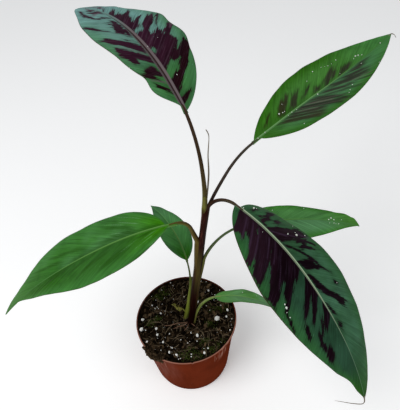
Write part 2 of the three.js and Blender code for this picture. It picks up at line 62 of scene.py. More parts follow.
# Leaves. A petiole or a midrib is a run of arcs: its heading (degrees from +X, anticlockwise from above) and
# its pitch (degrees above level) are given at even steps from its start to its end. Stub is the length of
# petiole that still lies in its sheath. Roll turns a blade about its midrib, cup lifts both halves, and droop
# lets a half sag towards its margin. A half's outline starts at the share 'from', widens with the power
# 'swell' and closes with the power 'taper' at the tip. Its lobes swell or dent it (share of the length,
# reach, height). Ripple is the height and number of the margin's waves. Tip gives the shares of the length
# where a rounded tip sets in and where it ends. Veins gives the angle between the midrib and the side veins
# that leave it, rib the midrib's half width, and rib_shift how far it runs to the left of the blade's middle
# line, at even steps from the base to the tip. A tip thread's places are measured from the blade's tip.
LEAVES = {
    "top_left": {
        "start": (29.6, -3.4, 246.5),
        "petiole": {"length": 84.2, "heading": (122, 110, 116), "pitch": (101, 80, 47),
                    "radius": (2.3, 1.7, 1.35, 1.25)},
        "stub": 14,
        "blade": {"length": 166, "heading": (116, 123, 125, 125), "pitch": (47, 22, -3, -18),
                  "roll": (-3, 1, 12), "cup": 13},
        "left": {"width": 60.9, "swell": 1.35, "taper": 1.13, "from": 0.007, "droop": 0.22,
                 "lobes": ((0.13, 0.1, 6.2), (0.28, 0.1, 1.4), (0.42, 0.12, -0.8), (0.75, 0.15, -2.4))},
        "right": {"width": 61.8, "swell": 0.79, "taper": 1.3, "from": 0.007, "droop": 0.18,
                  "lobes": ((0.335, 0.08, 2.5), (0.52, 0.09, 3.0), (0.68, 0.1, -3.8), (0.85, 0.12, 3.3),
                            (0.955, 0.06, 1.8))},
        "ripple": (0.5, 3.5),
        "tip": (0.955, 0.986),
        "veins": (45, 51, 49, 35, 17),
        "rib": (1.4, 2.1, 2.2, 2.0, 1.7, 1.3, 0.7, 0.4, 0.3),
        "rib_shift": (0.0, 1.1, 1.3, 1.2, 1.0, 0.7, 0.2, 0.0, 0.0),
    },
    "top_right": {
        "start": (32.8, -3.4, 246.1),
        "petiole": {"length": 63.5, "heading": (25, 38, 34), "pitch": (61, 41, 11),
                    "radius": (1.45, 1.2, 1.05)},
        "stub": 10,
        "blade": {"length": 173.5, "heading": (34, 35.5, 38), "pitch": (11, 7.5, 12),
                  "roll": (-5, -1.3, 0.6, -3.4, -9), "cup": 13},
        "left": {"width": 60.7, "swell": 0.84, "taper": 0.93, "from": 0.008, "droop": 0.06},
        "right": {"width": 60.3, "swell": 0.62, "taper": 0.96, "from": 0.042, "droop": 0.05,
                  "lobes": ((0.15, 0.15, 2.3),)},
        "ripple": (0.2, 3),
        "veins": (48, 44, 34, 20, 12),
        "rib": (1.1, 0.85, 0.6, 0.4, 0.25),
        "rib_shift": (0.0, 0.5, 0.0, 0.0, 0.0),
        "tip_thread": ((0, 0, 0), (3, 0, -1.2), (5, 0, -4)),
    },
    "front_right": {
        "start": (32.3, -3.4, 245),
        "petiole": {"length": 29.8, "heading": (-15, -28, -42), "pitch": (65, 26, -17),
                    "radius": (1.7, 1.45, 1.35)},
        "stub": 9,
        "blade": {"length": 203, "heading": (-42, -46, -51.5, -55.5), "pitch": (-17, -39.5, -53, -70.5),
                  "roll": (-18, 1, 5), "cup": 0},
        "left": {"width": 71.5, "swell": 0.35, "taper": 0.79, "from": 0.018, "droop": 0.22,
                 "lobes": ((0.15, 0.15, -2.4), (0.5, 0.25, 2.8))},
        "right": {"width": 72.8, "swell": 0.61, "taper": 1.11, "from": 0, "droop": 0.25,
                  "lobes": ((0.87, 0.08, -2.1),)},
        "ripple": (0.8, 3),
        "veins": (66, 50, 38, 20, 10),
        "rib": (1.3, 1.2, 1.05, 0.85, 0.5, 0.3, 0.25, 0.2, 0.2),
        "rib_shift": (0.0, 0.6, 0.6, 0.4, 0.1, 0.0, 0.0, 0.0, 0.0),
        "tip_thread": ((0, 0, 0), (1, 0, -7), (-0.5, 0.5, -11.5), (-8, 1.5, -11), (-16, 3, -9.5),
                       (-23, 4, -7.5)),
    },
    "right": {
        "start": (24.6, -3.4, 179),
        "petiole": {"length": 53.2, "heading": (19, 17, 8), "pitch": (67, 36, -1),
                    "radius": (1.6, 1.15, 1.05)},
        "stub": 9,
        "blade": {"length": 113.5, "heading": (8, 7, -0.5), "pitch": (-1, -16, -25.5),
                  "roll": (10, 5, 13), "cup": 3},
        "left": {"width": 36.5, "swell": 0.35, "taper": 0.71, "from": 0, "droop": 0.12,
                 "lobes": ((0.5, 0.3, -1.0), (0.9, 0.12, 3.3), (0.965, 0.045, 2.2))},
        "right": {"width": 43.5, "swell": 0.51, "taper": 1.28, "from": 0.011, "droop": 0.19,
                  "lobes": ((0.6, 0.25, 0.7),)},
        "ripple": (0.5, 2.5),
        "tip": (0.95, 0.99),
        "veins": (40, 32, 24, 16, 12),
        "rib": (1.1, 0.8, 0.5, 0.3),
        "rib_shift": (0.0, 0.0),
    },
    "left": {
        "start": (20.8, -3.4, 204.6),
        "petiole": {"length": 31.8, "heading": (174.4, 170, 193), "pitch": (72, 77.4, 5),
                    "radius": (2.5, 1.85, 1.45)},
        "stub": 12,
        "blade": {"length": 183, "heading": (193, 188, 187.5, 189.5), "pitch": (5, -18.5, -30, -45),
                  "roll": (2, -4, -2), "cup": 10},
        "left": {"width": 64.3, "swell": 0.9, "taper": 1.78, "from": 0.038, "droop": 0.11,
                 "lobes": ((0.12, 0.1, -0.7), (0.4, 0.2, 0.9), (0.9, 0.15, -3.0))},
        "right": {"width": 61.6, "swell": 0.49, "taper": 1.01, "from": 0.056, "droop": 0.15,
                  "lobes": ((0.65, 0.2, 5.8), (0.93, 0.1, 2.1))},
        "ripple": (0.8, 3),
        "veins": (36, 32, 25, 17, 11),
        "rib": (1.2, 0.8, 0.5, 0.35, 0.25),
        "rib_shift": (0.0, 0.0),
    },
    "small_back": {
        "start": (-1.2, 1.4, 77),
        "petiole": {"length": 71.9, "heading": (21.3, 65, 110), "pitch": (70.4, 70, 61),
                    "radius": (2.1, 2.6, 2.6, 1.5, 0.85, 0.8)},
        "stub": 0,
        "blade": {"length": 70.5, "heading": (110, 122.5, 132.5), "pitch": (61, 30.5, 3), "roll": (18, 2, 12),
                  "cup": 10},
        "left": {"width": 31.7, "swell": 0.9, "taper": 1.15, "from": 0.024, "droop": 0.07},
        "right": {"width": 30.6, "swell": 0.7, "taper": 1.03, "from": 0.019, "droop": 0.14,
                  "lobes": ((0.9, 0.12, 1.4),)},
        "ripple": (0.4, 2),
        "veins": (42, 36, 30, 24, 18),
        "rib": (0.9, 0.7, 0.5, 0.3),
        "rib_shift": (0.0, 0.0),
    },
    "small_right": {
        "start": (8, -4.5, 78),
        "petiole": {"length": 46.6, "heading": (29, 15, -9), "pitch": (83, 62, 21),
                    "radius": (1.7, 1.45, 1.1)},
        "stub": 24,
        "blade": {"length": 73.5, "heading": (-9, -12.5, -13.5), "pitch": (21, -16, -48),
                  "roll": (-11, -24, -25), "cup": 9},
        "left": {"width": 27.4, "swell": 0.63, "taper": 0.97, "from": 0.001, "droop": 0.17,
                 "lobes": ((0.2, 0.2, -3.0),)},
        "right": {"width": 21.6, "swell": 0.58, "taper": 1.22, "from": 0.025, "droop": 0.03,
                  "lobes": ((0.2, 0.2, 2.8),)},
        "ripple": (0.3, 2),
        "veins": (38, 34, 28, 22, 18),
        "rib": (1.0, 0.8, 0.5, 0.3),
        "rib_shift": (0.0, 0.0),
    },
}

# Marks on the halves of the blades, in the side veins' own frame. Each is a stroke, given as the foot of the
# vein along the middle line and the distance from that line where it starts, the same two where it ends, and
# its half width at its start and at its end. 'dark' lists the dark streaks, and on the plain left leaf the
# painted shade of its creases, 'clear' the green windows in them, and 'grey' the paler lines over both.
MARKS = {
    ("top_left", "left", "dark"): (
        (16, 4, 16, 11, 2.4, 1.8), (23, 16, 25, 8.5, 1.8, 2.8), (27, 12, 32, 4.5, 2.8, 5),
        (43.5, 3.5, 45.6, 21.5, 3.4, 4.8), (43, 17.5, 35, 15.8, 4.4, 2), (38.5, 17, 41, 20, 2.4, 2.4),
        (54, 3.5, 59, 22.5, 5, 3.4), (58.5, 22, 58.2, 26, 2.2, 0.8), (76, 28, 72.5, 21, 1.8, 1.5),
        (72.5, 21, 72, 16.5, 1.4, 0.8), (63.3, 9.5, 64, 6, 0.6, 0.6), (71.5, 9, 84, 6, 3.2, 2.9),
        (70, 5, 80, 3.5, 1.6, 1.6), (84, 5.5, 94, 4.5, 2.6, 1.2), (80, 11, 80.5, 6, 0.8, 1.4),
        (85, 10, 85.5, 6, 0.8, 1.4), (89, 8.8, 89.5, 5, 0.6, 1.2), (94.5, 14.5, 100, 16.3, 1.4, 1.9),
        (100, 16.3, 106, 15.8, 1.9, 1.2), (106, 15.8, 117, 13.4, 1, 0.6), (95, 12.5, 100.5, 4.5, 0.8, 1),
        (109.5, 10.4, 115, 5.2, 1.9, 2.4), (115, 5.2, 123, 1, 2.2, 1), (117, 8.5, 130, 2.8, 1.8, 1),
    ),
    ("top_left", "left", "grey"): (
        (52, 19, 48.5, 6, 0.6, 0.7), (101, 12.6, 118, 2.6, 1.0, 0.9), (20.5, 12, 22.5, 5, 0.6, 1.0),
        (125, 6, 146, 1.5, 1.4, 0.8),
    ),
    ("top_left", "right", "dark"): (
        (8.5, -1, 4.2, 10, 3.4, 0.9), (14, -1, 14, 4, 0.9, 0.6), (20.5, -1, 19.2, 20, 5.2, 4.2),
        (19.5, 18, 21.5, 30, 4, 4), (25, 18, 26, 29, 3.4, 3), (26, 16, 34, 13, 3.2, 4),
        (28, 20, 38, 21.5, 3.4, 3), (41, -1, 40.5, 21, 7.2, 6.6), (46, 20, 45.6, 30, 3.8, 2.4),
        (50, -1, 51, 18, 6.4, 5.2), (58, -1, 56, 10, 6, 4.4), (65.5, -1, 66, 21, 6.6, 5),
        (65.5, 20, 65, 25.5, 3.6, 2), (78.5, -1, 78, 8, 6.4, 4.4), (78, 7, 77.6, 15.5, 3, 1.2),
        (92, -1, 90.3, 13.5, 7.4, 1.2), (86, -1, 86, 8, 5.6, 3.4), (100, -1, 99, 5, 6, 2.6),
        (108, -1, 107.3, 7.5, 4.8, 1.6), (120.4, 2, 121, 4.4, 1.4, 1.2), (127, 5.5, 129, 4, 1.2, 1),
        (58.3, 19.6, 61.2, 29.6, 0.8, 1),
    ),
    ("top_left", "right", "clear"): (
        (32.5, 3, 24.2, 12.3, 2.3, 2.9), (30.6, 18.5, 30.5, 26, 0.7, 1.6), (32, 29.5, 40, 25.5, 2.6, 3.4),
        (52.8, 22, 54, 31, 1.6, 5.2), (60, 11.3, 59, 18, 1.5, 2), (61, 19.5, 64, 27, 0.6, 1),
        (50, 3, 53, 1.8, 0.9, 1), (74.8, 2, 70.2, 8.2, 1.4, 2),
    ),
    ("top_left", "right", "grey"): (
        (124, 6, 146, 2.5, 2.6, 1.4), (44.5, 27, 46, 31, 1.4, 1.6), (37, 2, 36, 22, 0.4, 0.3),
        (48, 2, 48.6, 26, 0.4, 0.3), (57, 2, 56, 18, 0.4, 0.3), (67, 2, 67, 24, 0.4, 0.3),
        (79, 2, 78.4, 14, 0.4, 0.3), (90, 2, 89, 11, 0.4, 0.3),
    ),
    ("front_right", "left", "dark"): (
        (6.8, 12.5, 8.3, 7.5, 0.9, 1.2), (12.6, 25, 12.4, 20, 1.6, 1.8), (12.6, 22, 16.5, 12, 1.8, 2),
        (14.6, 9.5, 14.8, 7, 1, 1), (18, 14, 19.4, 4.6, 1.6, 2), (21, 22, 22.6, 16.4, 1.6, 1.8),
        (22, 4, 27, 4, 1, 1.2), (34, 2.5, 34.5, 17, 8, 6.4), (34.3, 17, 32.4, 32, 6, 3.6),
        (40.5, 17, 40.6, 27, 2.4, 1.8), (41, 6, 43.4, 3, 1.6, 1.7), (41, 26.5, 43.7, 30.6, 1.6, 1.6),
        (47, 25.4, 46.2, 20, 1.8, 1.9), (42.5, 22.5, 46, 18.4, 1.8, 1.6), (46, 18.8, 48, 14.8, 1.6, 1.4),
        (47, 5, 50.5, 10.5, 1.5, 1.5), (50.5, 10.5, 56, 15.8, 1.5, 1.6), (56, 15.8, 64.5, 18, 1.6, 1.8),
        (64, 18, 66.5, 22, 1.6, 1), (62, 16, 66, 3.6, 4.4, 4.2), (76, 22.5, 77.5, 21.4, 1.4, 1.3),
        (74.5, 3.3, 88, 6.6, 1.6, 4.4), (88, 5, 91, 16, 3.4, 3.4), (90, 16.6, 97, 15, 3.4, 2.4),
        (91.5, 17, 92.3, 20.4, 1.8, 0.9), (103.4, 2.2, 109.6, 3, 1.5, 1.4), (118, 4, 124, 2.3, 1, 0.7),
    ),
    ("front_right", "left", "clear"): ((42.5, 13.5, 44, 6, 1.8, 1.4),),
    ("front_right", "left", "grey"): (
        (34.2, 26, 37.5, 31.5, 1.4, 1.6), (32, 4, 36, 12, 1.0, 1.2), (35, 14, 36.5, 20, 0.6, 0.6),
    ),
    ("front_right", "right", "dark"): (
        (8.4, -1, 8.2, 18, 4.6, 4.4), (16, -1, 15.4, 15, 6, 5.4), (21, 8, 20.8, 30, 4, 2.6),
        (30, -1, 29.6, 33, 8.4, 5.2), (43, -1, 45.6, 34, 8.4, 5.6), (54, -1, 51.6, 18, 8, 6.2),
        (58, -1, 58.6, 24, 7.4, 3.8), (66, -1, 63.4, 9, 4.2, 2.8), (60, 25, 60.5, 29, 2.4, 1.4),
        (60, 30, 74, 31.5, 1, 0.9), (80.4, -1, 79.6, 19.5, 5.8, 2), (88.5, -1, 90, 15.8, 6.2, 1.8),
        (105.6, -1, 107, 9.8, 6.6, 2.4), (100.4, 9.5, 104.2, 13.6, 1.8, 1.7),
        (99.6, 16.4, 106, 17.8, 1.4, 1.6), (105.5, 17.8, 114, 16.6, 1.6, 1.6),
        (114, 16, 122.5, 14.6, 2.3, 2.1), (117, 13.2, 121, 13.2, 1.3, 1.1),
        (83.4, 22.7, 91.5, 23.6, 1.9, 1.7),
    ),
    ("front_right", "right", "clear"): (
        (15, 17, 13.6, 28, 0.6, 4.2), (23.9, 26, 23.6, 33, 0.5, 1.7), (38.4, 20.5, 38.8, 34, 0.5, 3.8),
        (53.6, 20.5, 54.6, 33, 0.6, 4.4),
    ),
    ("front_right", "right", "grey"): (
        (11.5, 4, 11, 20, 0.7, 0.7), (18, 4, 18, 22, 0.6, 0.7), (23.5, 4, 23.5, 25, 0.7, 0.7),
        (34, 4, 34, 16, 0.7, 0.6), (40.5, 2, 40.5, 15, 0.6, 0.5), (46, 8, 49, 24, 0.4, 0.5),
    ),
    # Painted shade of the creases on the plain left leaf's left half.
    ("left", "left", "dark"): (
        (28, 14, 32, 21, 3.5, 3), (-3, 20, 3, 28, 3, 3), (50, 9, 58, 15, 2.6, 2.4),
        (70, 3, 78, 8, 1.6, 1.4), (20, 2, 26, 5, 1.2, 1), (96, 3, 110, 6, 1.8, 1.4),
    ),
    ("left", "left", "grey"): (
        (0, 10, 2, 16, 0.5, 0.3), (15, 4, 18, 9, 0.5, 0.3), (-1, 5, 0, 11, 0.5, 0.4),
        (12, 9, 14, 15, 0.4, 0.3), (26, 8, 28, 13, 0.4, 0.3),
    ),
    # Painted shade of the creases on the plain left leaf's right half.
    ("left", "right", "dark"): (
        (12, 2, 94, 1.6, 1.6, 0.9), (30, 4, 58, 4, 2.4, 2.2), (27, 9, 31, 17, 2.6, 2.6),
        (70, 10, 82, 15, 2, 1.6), (92, 8, 104, 12, 2, 1.4),
    ),
    ("left", "right", "grey"): (
        (38, 7.4, 40.5, 8.8, 0.8, 0.6), (18, 11, 20, 17, 0.8, 0.5), (-14, 23, -12.5, 27, 0.8, 0.5),
        (8, 16, 11, 24, 0.5, 0.4), (24, 15, 27, 22, 0.5, 0.4),
    ),
    ("top_right", "left", "dark"): (
        (31.5, 5, 34.5, 14, 4.8, 4.6), (37, 9, 38, 16, 1.6, 2), (45.5, 4, 47, 13, 4.2, 3.4),
        (70, 4.5, 76, 3, 2.2, 1.6), (83, 3.5, 89, 10, 4.6, 3.8), (90, 6, 94, 5, 3, 2),
        (101, 3.5, 112, 3, 3, 2), (15, 6, 17, 11, 1.6, 1.2), (58, 6, 62, 10, 1.4, 1.2),
    ),
    ("top_right", "right", "dark"): (
        (28, 3, 30, 24, 3.6, 3.4), (35, 3, 35.4, 22, 2.2, 2), (40, 2, 41, 19, 3.2, 2.8),
        (49, 1, 49.8, 25, 4.6, 4.2), (57, 3, 57, 20, 2.4, 2), (63, 3, 59.5, 16, 4, 2.8),
        (74.6, 4, 74, 15, 2.8, 2.4), (84, 4, 90, 16, 5, 4.6), (94, 5, 99, 12, 5, 3.4),
        (105, 5.5, 124, 2.6, 2.6, 1.2), (66, 8, 69, 22, 0.9, 0.8), (78, 14, 82, 24, 1, 0.8),
    ),
    ("top_right", "right", "grey"): (
        (43.6, 3, 43.5, 14, 1.2, 1.0), (54.6, 3, 54, 17, 1.6, 1.4), (84, 14, 88, 20, 1, 1),
        (31.6, 2, 32.6, 26, 0.4, 0.3), (37.6, 2, 38, 26, 0.5, 0.3), (48, 2, 48.6, 28, 0.5, 0.4),
        (60, 3, 58, 22, 0.5, 0.4), (70, 2, 73, 24, 0.5, 0.4), (80, 3, 84, 24, 0.5, 0.4),
        (92, 3, 97, 18, 0.5, 0.4),
    ),
}

# Pale grit on the blades: (distance along the middle line, distance to its left, grain size)
GRIT = {
    "top_right": (
        (35.5, 6, 1.7), (38.5, 5, 1.2), (40.5, 5, 0.9), (44.5, 12, 0.8), (78, 15.5, 0.8), (90, 20, 1.1),
        (99.5, 18.5, 0.7), (102.5, 17, 0.6), (105, 15.5, 1), (115.5, 15.5, 1), (73, -1.5, 1.2),
        (130.5, 6, 1.6), (133, 5, 1.4), (135.5, 3, 0.9), (157.5, 0, 1.2), (96, -18.5, 0.9),
        (89.5, -21.5, 0.9), (86, -23.5, 0.8), (37, -21, 0.8), (6, 0, 1), (14, 0.5, 1.1), (44, 0, 0.9),
        (125, -4.5, 0.8), (130.5, -19, 0.8), (105, 2, 0.6), (127, 5, 0.9), (109, 15, 0.6), (48.5, -1, 0.7),
        (39.5, -0.5, 0.7),
    ),
    "front_right": (
        (11.5, 11.5, 1.9), (6, 2.5, 1.1), (13, 14, 0.8), (45, 15, 1.3), (51, 22.5, 2.1), (57, 31, 0.9),
        (49, 24, 0.8), (100.5, 22.5, 0.7), (84.5, -28, 2.2), (81.5, -27.5, 1.2), (93, -29.5, 1.1),
        (88, -29.5, 0.8), (29.5, -4, 0.6), (44.5, 30, 0.6),
    ),
    "right": (
        (27.5, 12, 0.9), (58.5, 13, 0.9), (79.5, 0.8, 1.4), (82.4, 2.9, 1.4), (84.9, 1.2, 1.3),
        (79.5, -2.9, 0.7), (84, -2.5, 0.9), (86, -3, 0.7), (89, -2.5, 1), (93.2, 2.5, 0.8),
    ),
    "small_right": ((28, 6, 1.1), (42.5, 6, 0.6)),
    "top_left": ((28, -6.5, 0.9), (58.5, -0.5, 0.7), (119, -14, 0.6), (61, -11.5, 0.5), (47.5, 22.5, 0.6)),
}

# False stem, as in the frame, and the dried thread that stands in its fork
STEM_FOOT = (2.3, -3.4, 62)
STEM_LENGTH = 187
STEM_PITCH = 81.2
STEM_RISE = STEM_LENGTH * math.sin(math.radians(STEM_PITCH))
STEM_RADIUS = (3.4, 3.4, 3.5, 3.4, 3.2, 2.8, 3.0)
THREAD_ROUTE = (
    (31.4, -1.2, 247.8), (33.3, -0.6, 262), (35.1, 0, 279), (35.6, 0, 296), (37.1, 0, 311), (36.8, 0, 316),
    (35.4, 0, 319.5),
)

# Pot and soil. The flutes stand in groups of three. Angles are round the pot's axis, from +X, anticlockwise
# from above. The clump of soil over the rim is an ellipsoid with these half sizes.
POT_LOW, POT_HIGH = (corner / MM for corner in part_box("pot"))
RIM_RADIUS = (POT_HIGH.x - POT_LOW.x) / 2
POT_HEIGHT = POT_HIGH.z
BASE_RADIUS = RIM_RADIUS - 11.5
LIP_OVERHANG = 2.0
LIP_HEIGHT = 2.8
LIP_THICKNESS = 1.1
POT_WALL = 1.0
POT_FLOOR = 1.8
WALL_TOP_RADIUS = RIM_RADIUS - LIP_OVERHANG
INNER_RIM_RADIUS = RIM_RADIUS - LIP_THICKNESS
LIP_BOTTOM = POT_HEIGHT - LIP_HEIGHT
LEDGE = LIP_BOTTOM + POT_WALL
SOIL_LEVEL = 77.0
SOIL_EDGE = 81.0
SOIL_GAP = 0.3
MIX_REACH = INNER_RIM_RADIUS - 1.5
FLUTE_GROUPS = 5
FLUTE_FIRST = -125.0
FLUTE_SPACING = 6.0
FOOT_HEIGHT = 5.6
FOOT_STEP = 0.7
DRAIN_HOLES = 8
DRAIN_RADIUS = 4.0
DRAIN_CIRCLE = 29.0
NOTCH_ANGLE = -86.0
NUB_ANGLE, NUB_HEIGHT = -92.1, 21.3
CLUMP = {"angle": -133, "circle": 48, "height": 79.5, "along": 14, "across": 7.5, "up": 4.5}

# Perlite grains on the soil: (x, y, size)
PERLITE = (
    (32, -4, 6.0), (44, 5, 3.2), (42, -3, 2.8), (26, 32, 2.6), (35, 20, 1.4), (10, -21, 4.2),
    (-32, -8, 3.2), (-31, -15.5, 3.2), (-46, 3, 3.4), (-47, -9, 4.6), (-41, -24, 3.0), (-19, -37, 3.0),
    (-12, -41, 3.6), (-25, -25, 2.4), (16, -42, 3.4), (20, -37, 2.2), (-27, 10, 2.4), (-36, 20, 1.8),
    (-33, 17, 1.6), (13, 19, 3.6), (14, 14, 2.0), (4, -17, 2.2), (-7, -23, 1.6), (44, -20, 2.2),
    (-16, -32, 2.0), (9, 10, 1.6),
)

# Roots on the soil and the upright stick, as places that they pass, the run of the dry scrap behind the stem,
# and patches of moss: (x, y, spread)
LONG_ROOT = ((-24, -5.8, 79.4), (-17, -6.6, 79.8), (-9, -5.2, 80.2), (-3, -5.6, 80.4), (1.4, -5.0, 80.6))
SHORT_ROOTS = (
    ((1, -6, 80.6), (-7, -9.5, 80)), ((2, -7, 80.2), (-3, -14, 79)), ((5, -7, 80), (11, -13, 79)),
    ((-4, -8, 80), (-14, -11, 79.6)), ((7, -3, 80), (14, 1, 79.4)),
)
STICK = ((17.2, -33.8, 78.4), (17.4, -33.4, 80.6), (17.9, -32.2, 83.2))
SCRAP_FROM, SCRAP_TO = (-12.5, 18), (-4.1, 10.65)
SCRAP_FIBRES = 22
MOSS_PATCHES = (
    (-3, -42, 7), (9, -44, 7), (3, -38, 6), (24, -38, 7), (35, -32, 7), (-38, -1, 5), (-30, 4, 5),
    (-22, 36, 8), (24, -8, 6), (22, 20, 7), (-30, 30, 5), (30, 10, 8), (38, 8, 6), (17, -28, 6),
)


def paint(red, green, blue):
    """Linear colour from 0 to 255 screen values."""
    def linear(value):
        share = value / 255
        return share / 12.92 if share <= 0.04045 else ((share + 0.055) / 1.055) ** 2.4
    return (linear(red), linear(green), linear(blue), 1.0)


# Blade colours: the green near the stalk, the two greens that drift over the rest, its margin and tip, the
# underside, the midrib and the line in it. Other is the colour that one half turns to, with the side it lies
# on (1 left, -1 right). Grain is the strength of the fine lines along the veins. Turns gives four shares of
# the length: the base colour gives way between the first two, and the tip colour sets in between the others.
# A blade with marks also has their colour near the stalk and further out, the haze of paler lines, how far
# the marks cover the green, over how many millimetres their edges fade and how ragged they are.
BLADE_COLOURS = {
    "top_left": {
        # Its bluish greens and pale tip are partly the leaf's own waxy tone and partly a painted reflection
        # of the sky.
        "base": paint(56, 106, 58), "green": paint(78, 120, 102), "second": paint(104, 148, 140),
        "margin": paint(62, 110, 68), "tip": paint(110, 154, 150), "other": (1, paint(90, 126, 114)),
        "under": paint(104, 48, 56), "rib": paint(96, 86, 88), "rib_line": paint(48, 34, 34), "grain": 0.8,
        "turns": (0.18, 0.46, 0.42, 0.8), "streak": paint(27, 6, 11), "far_streak": paint(46, 18, 34),
        "haze": paint(92, 70, 84), "depth": 1.0, "fade": 0.45, "ragged": 7.4,
    },
    "top_right": {
        "base": paint(52, 104, 28), "green": paint(50, 100, 28), "second": paint(64, 116, 48),
        "margin": paint(42, 94, 14), "tip": paint(66, 126, 62), "other": (-1, paint(74, 120, 84)),
        "under": paint(112, 128, 84), "rib": paint(104, 146, 92), "rib_line": paint(72, 114, 62),
        "grain": 1.0, "turns": (0.05, 0.3, 0.6, 1.0), "streak": paint(44, 32, 18),
        "far_streak": paint(44, 34, 34), "haze": paint(104, 96, 88), "depth": 0.84, "fade": 1.5,
        "ragged": 8.0,
    },
    "front_right": {
        "base": paint(50, 92, 58), "green": paint(48, 86, 56), "second": paint(68, 112, 84),
        # Its darker right half, 'other', is painted shade.
        "margin": paint(44, 92, 46), "tip": paint(38, 92, 4), "other": (-1, paint(34, 66, 48)),
        "under": paint(98, 44, 52), "rib": paint(150, 170, 140), "rib_line": paint(104, 104, 86),
        "grain": 0.85, "turns": (0.05, 0.3, 0.78, 1.0), "streak": paint(36, 18, 28),
        "far_streak": paint(16, 2, 9), "haze": paint(66, 48, 68), "depth": 1.0, "fade": 0.45, "ragged": 7.4,
    },
    "right": {
        "base": paint(64, 122, 58), "green": paint(56, 120, 40), "second": paint(80, 136, 74),
        "margin": paint(56, 120, 38), "tip": paint(74, 132, 48), "other": (-1, paint(90, 140, 96)),
        "under": paint(116, 134, 90), "rib": paint(86, 134, 72), "rib_line": paint(70, 118, 58),
        "grain": 0.8, "turns": (0.05, 0.4, 0.6, 1.0),
    },
    "left": {
        "base": paint(56, 124, 8), "green": paint(52, 106, 38), "second": paint(72, 124, 68),
        "margin": paint(60, 116, 52), "tip": paint(78, 126, 64), "other": (1, paint(38, 88, 14)),
        "under": paint(116, 134, 90), "rib": paint(90, 136, 66), "rib_line": paint(64, 108, 44),
        # On this plain leaf the streak colours paint the shade of its creases.
        "grain": 0.9, "turns": (0.05, 0.3, 0.6, 1.0), "streak": paint(30, 78, 4),
        "far_streak": paint(36, 80, 10), "haze": paint(128, 166, 128), "depth": 0.6, "fade": 2.2,
        "ragged": 3.4,
    },
    "small_back": {
        "base": paint(44, 110, 6), "green": paint(68, 130, 64), "second": paint(86, 144, 86),
        "margin": paint(66, 116, 66), "tip": paint(72, 114, 76), "other": (1, paint(68, 128, 62)),
        "under": paint(116, 134, 90), "rib": paint(98, 138, 76), "rib_line": paint(74, 116, 52),
        "grain": 0.7, "turns": (0.05, 0.4, 0.6, 1.0),
    },
    "small_right": {
        "base": paint(96, 158, 76), "green": paint(90, 154, 72), "second": paint(112, 166, 112),
        "margin": paint(80, 134, 70), "tip": paint(66, 118, 66), "other": (-1, paint(102, 150, 104)),
        "under": paint(116, 134, 90), "rib": paint(112, 158, 92), "rib_line": paint(88, 134, 72),
        "grain": 0.7, "turns": (0.05, 0.4, 0.6, 1.0),
    },
}

# Stalk colours: on a petiole's outer face at places in millimetres from where it leaves the stem, as (place,
# red, green, blue), and in its groove. Negative places are on its sheath.
STALK_COLOURS = {
    "top_left": {"face": ((-9, 48, 18, 14), (-4, 70, 62, 24), (0, 104, 104, 42), (30, 80, 72, 34),
                          (48, 50, 38, 26), (84, 52, 40, 38)), "groove": (58, 44, 26)},
    "top_right": {"face": ((-30, 30, 10, 6), (0, 38, 22, 16), (20, 44, 36, 32), (63, 74, 72, 60)),
                  "groove": (60, 50, 42)},
    # Its paler groove colour is a painted highlight along the stalk's upper side.
    "front_right": {"face": ((-30, 34, 10, 6), (0, 40, 18, 12), (14, 42, 26, 18), (28, 64, 62, 46)),
                    "groove": (66, 46, 34)},
    "right": {"face": ((-40, 58, 42, 14), (-12, 80, 74, 26), (0, 90, 92, 38), (16, 78, 90, 58),
                       (53, 84, 110, 70)), "groove": (74, 92, 56)},
    "left": {"face": ((-60, 34, 16, 6), (-42, 58, 38, 14), (-30, 78, 63, 24), (0, 90, 74, 28),
                      (14, 90, 76, 34), (32, 98, 100, 46)), "groove": (70, 46, 22)},
    "small_back": {"face": ((0, 82, 74, 32), (14, 122, 134, 46), (34, 132, 144, 60), (46, 94, 108, 44),
                            (56, 50, 72, 36), (72, 52, 82, 44)), "groove": (110, 122, 50)},
    "small_right": {"face": ((-8, 84, 72, 40), (6, 114, 112, 56), (20, 136, 146, 72), (46, 112, 150, 76)),
                    "groove": (152, 160, 100)},
}


class BladeSettings(bpy.types.PropertyGroup):
    """Sizes and colours that all the blades share."""

    middle_thickness: FloatProperty(
        name="Middle thickness", description="Thickness of the blade beside its midrib", default=0.42 * MM,
        unit="LENGTH", precision=5)
    margin_thickness: FloatProperty(
        name="Margin thickness", description="Thickness of the blade at its margin", default=0.3 * MM,
        unit="LENGTH", precision=5)
    vein_spacing: FloatProperty(
        name="Vein spacing", description="Distance between the main side veins along the midrib",
        default=8.5 * MM, unit="LENGTH", precision=5)
    vein_relief: FloatProperty(
        name="Vein relief", description="Depth of the groove over each main side vein", default=0.3 * MM,
        unit="LENGTH", precision=5)
    rows: IntProperty(
        name="Rows", description="Rows of faces along a large blade", default=170, min=20)
    columns: IntProperty(
        name="Columns", description="Columns of faces from a blade's midrib to its margin", default=28, min=8)
    margin_line: FloatVectorProperty(
        name="Margin line", description="Colour of the thin line along the margin", subtype="COLOR", size=4,
        default=paint(58, 52, 34))
    dried: FloatVectorProperty(
        name="Dried tissue", description="Colour of the dried threads", subtype="COLOR", size=4,
        default=paint(112, 102, 88))
    grit: FloatVectorProperty(
        name="Grit", description="Colour of the perlite grit on the blades", subtype="COLOR", size=4,
        default=paint(226, 232, 222))


class StemSettings(bpy.types.PropertyGroup):
    """Sizes and colours of the false stem and its sheaths."""

    sides: IntProperty(
        name="Sides", description="Sides of the stem's and the sheaths' cross-section", default=36, min=8)
    dark: FloatVectorProperty(
        name="Dark sheath", description="Maroon of the stem's foot", subtype="COLOR", size=4,
        default=paint(28, 6, 3))
    brown: FloatVectorProperty(
        name="Brown sheath", description="Brown of the middle of the stem", subtype="COLOR", size=4,
        default=paint(70, 58, 24))
    streak: FloatVectorProperty(
        name="Sheath streak", description="Paler streaks along the upper stem", subtype="COLOR", size=4,
        default=paint(92, 50, 40))


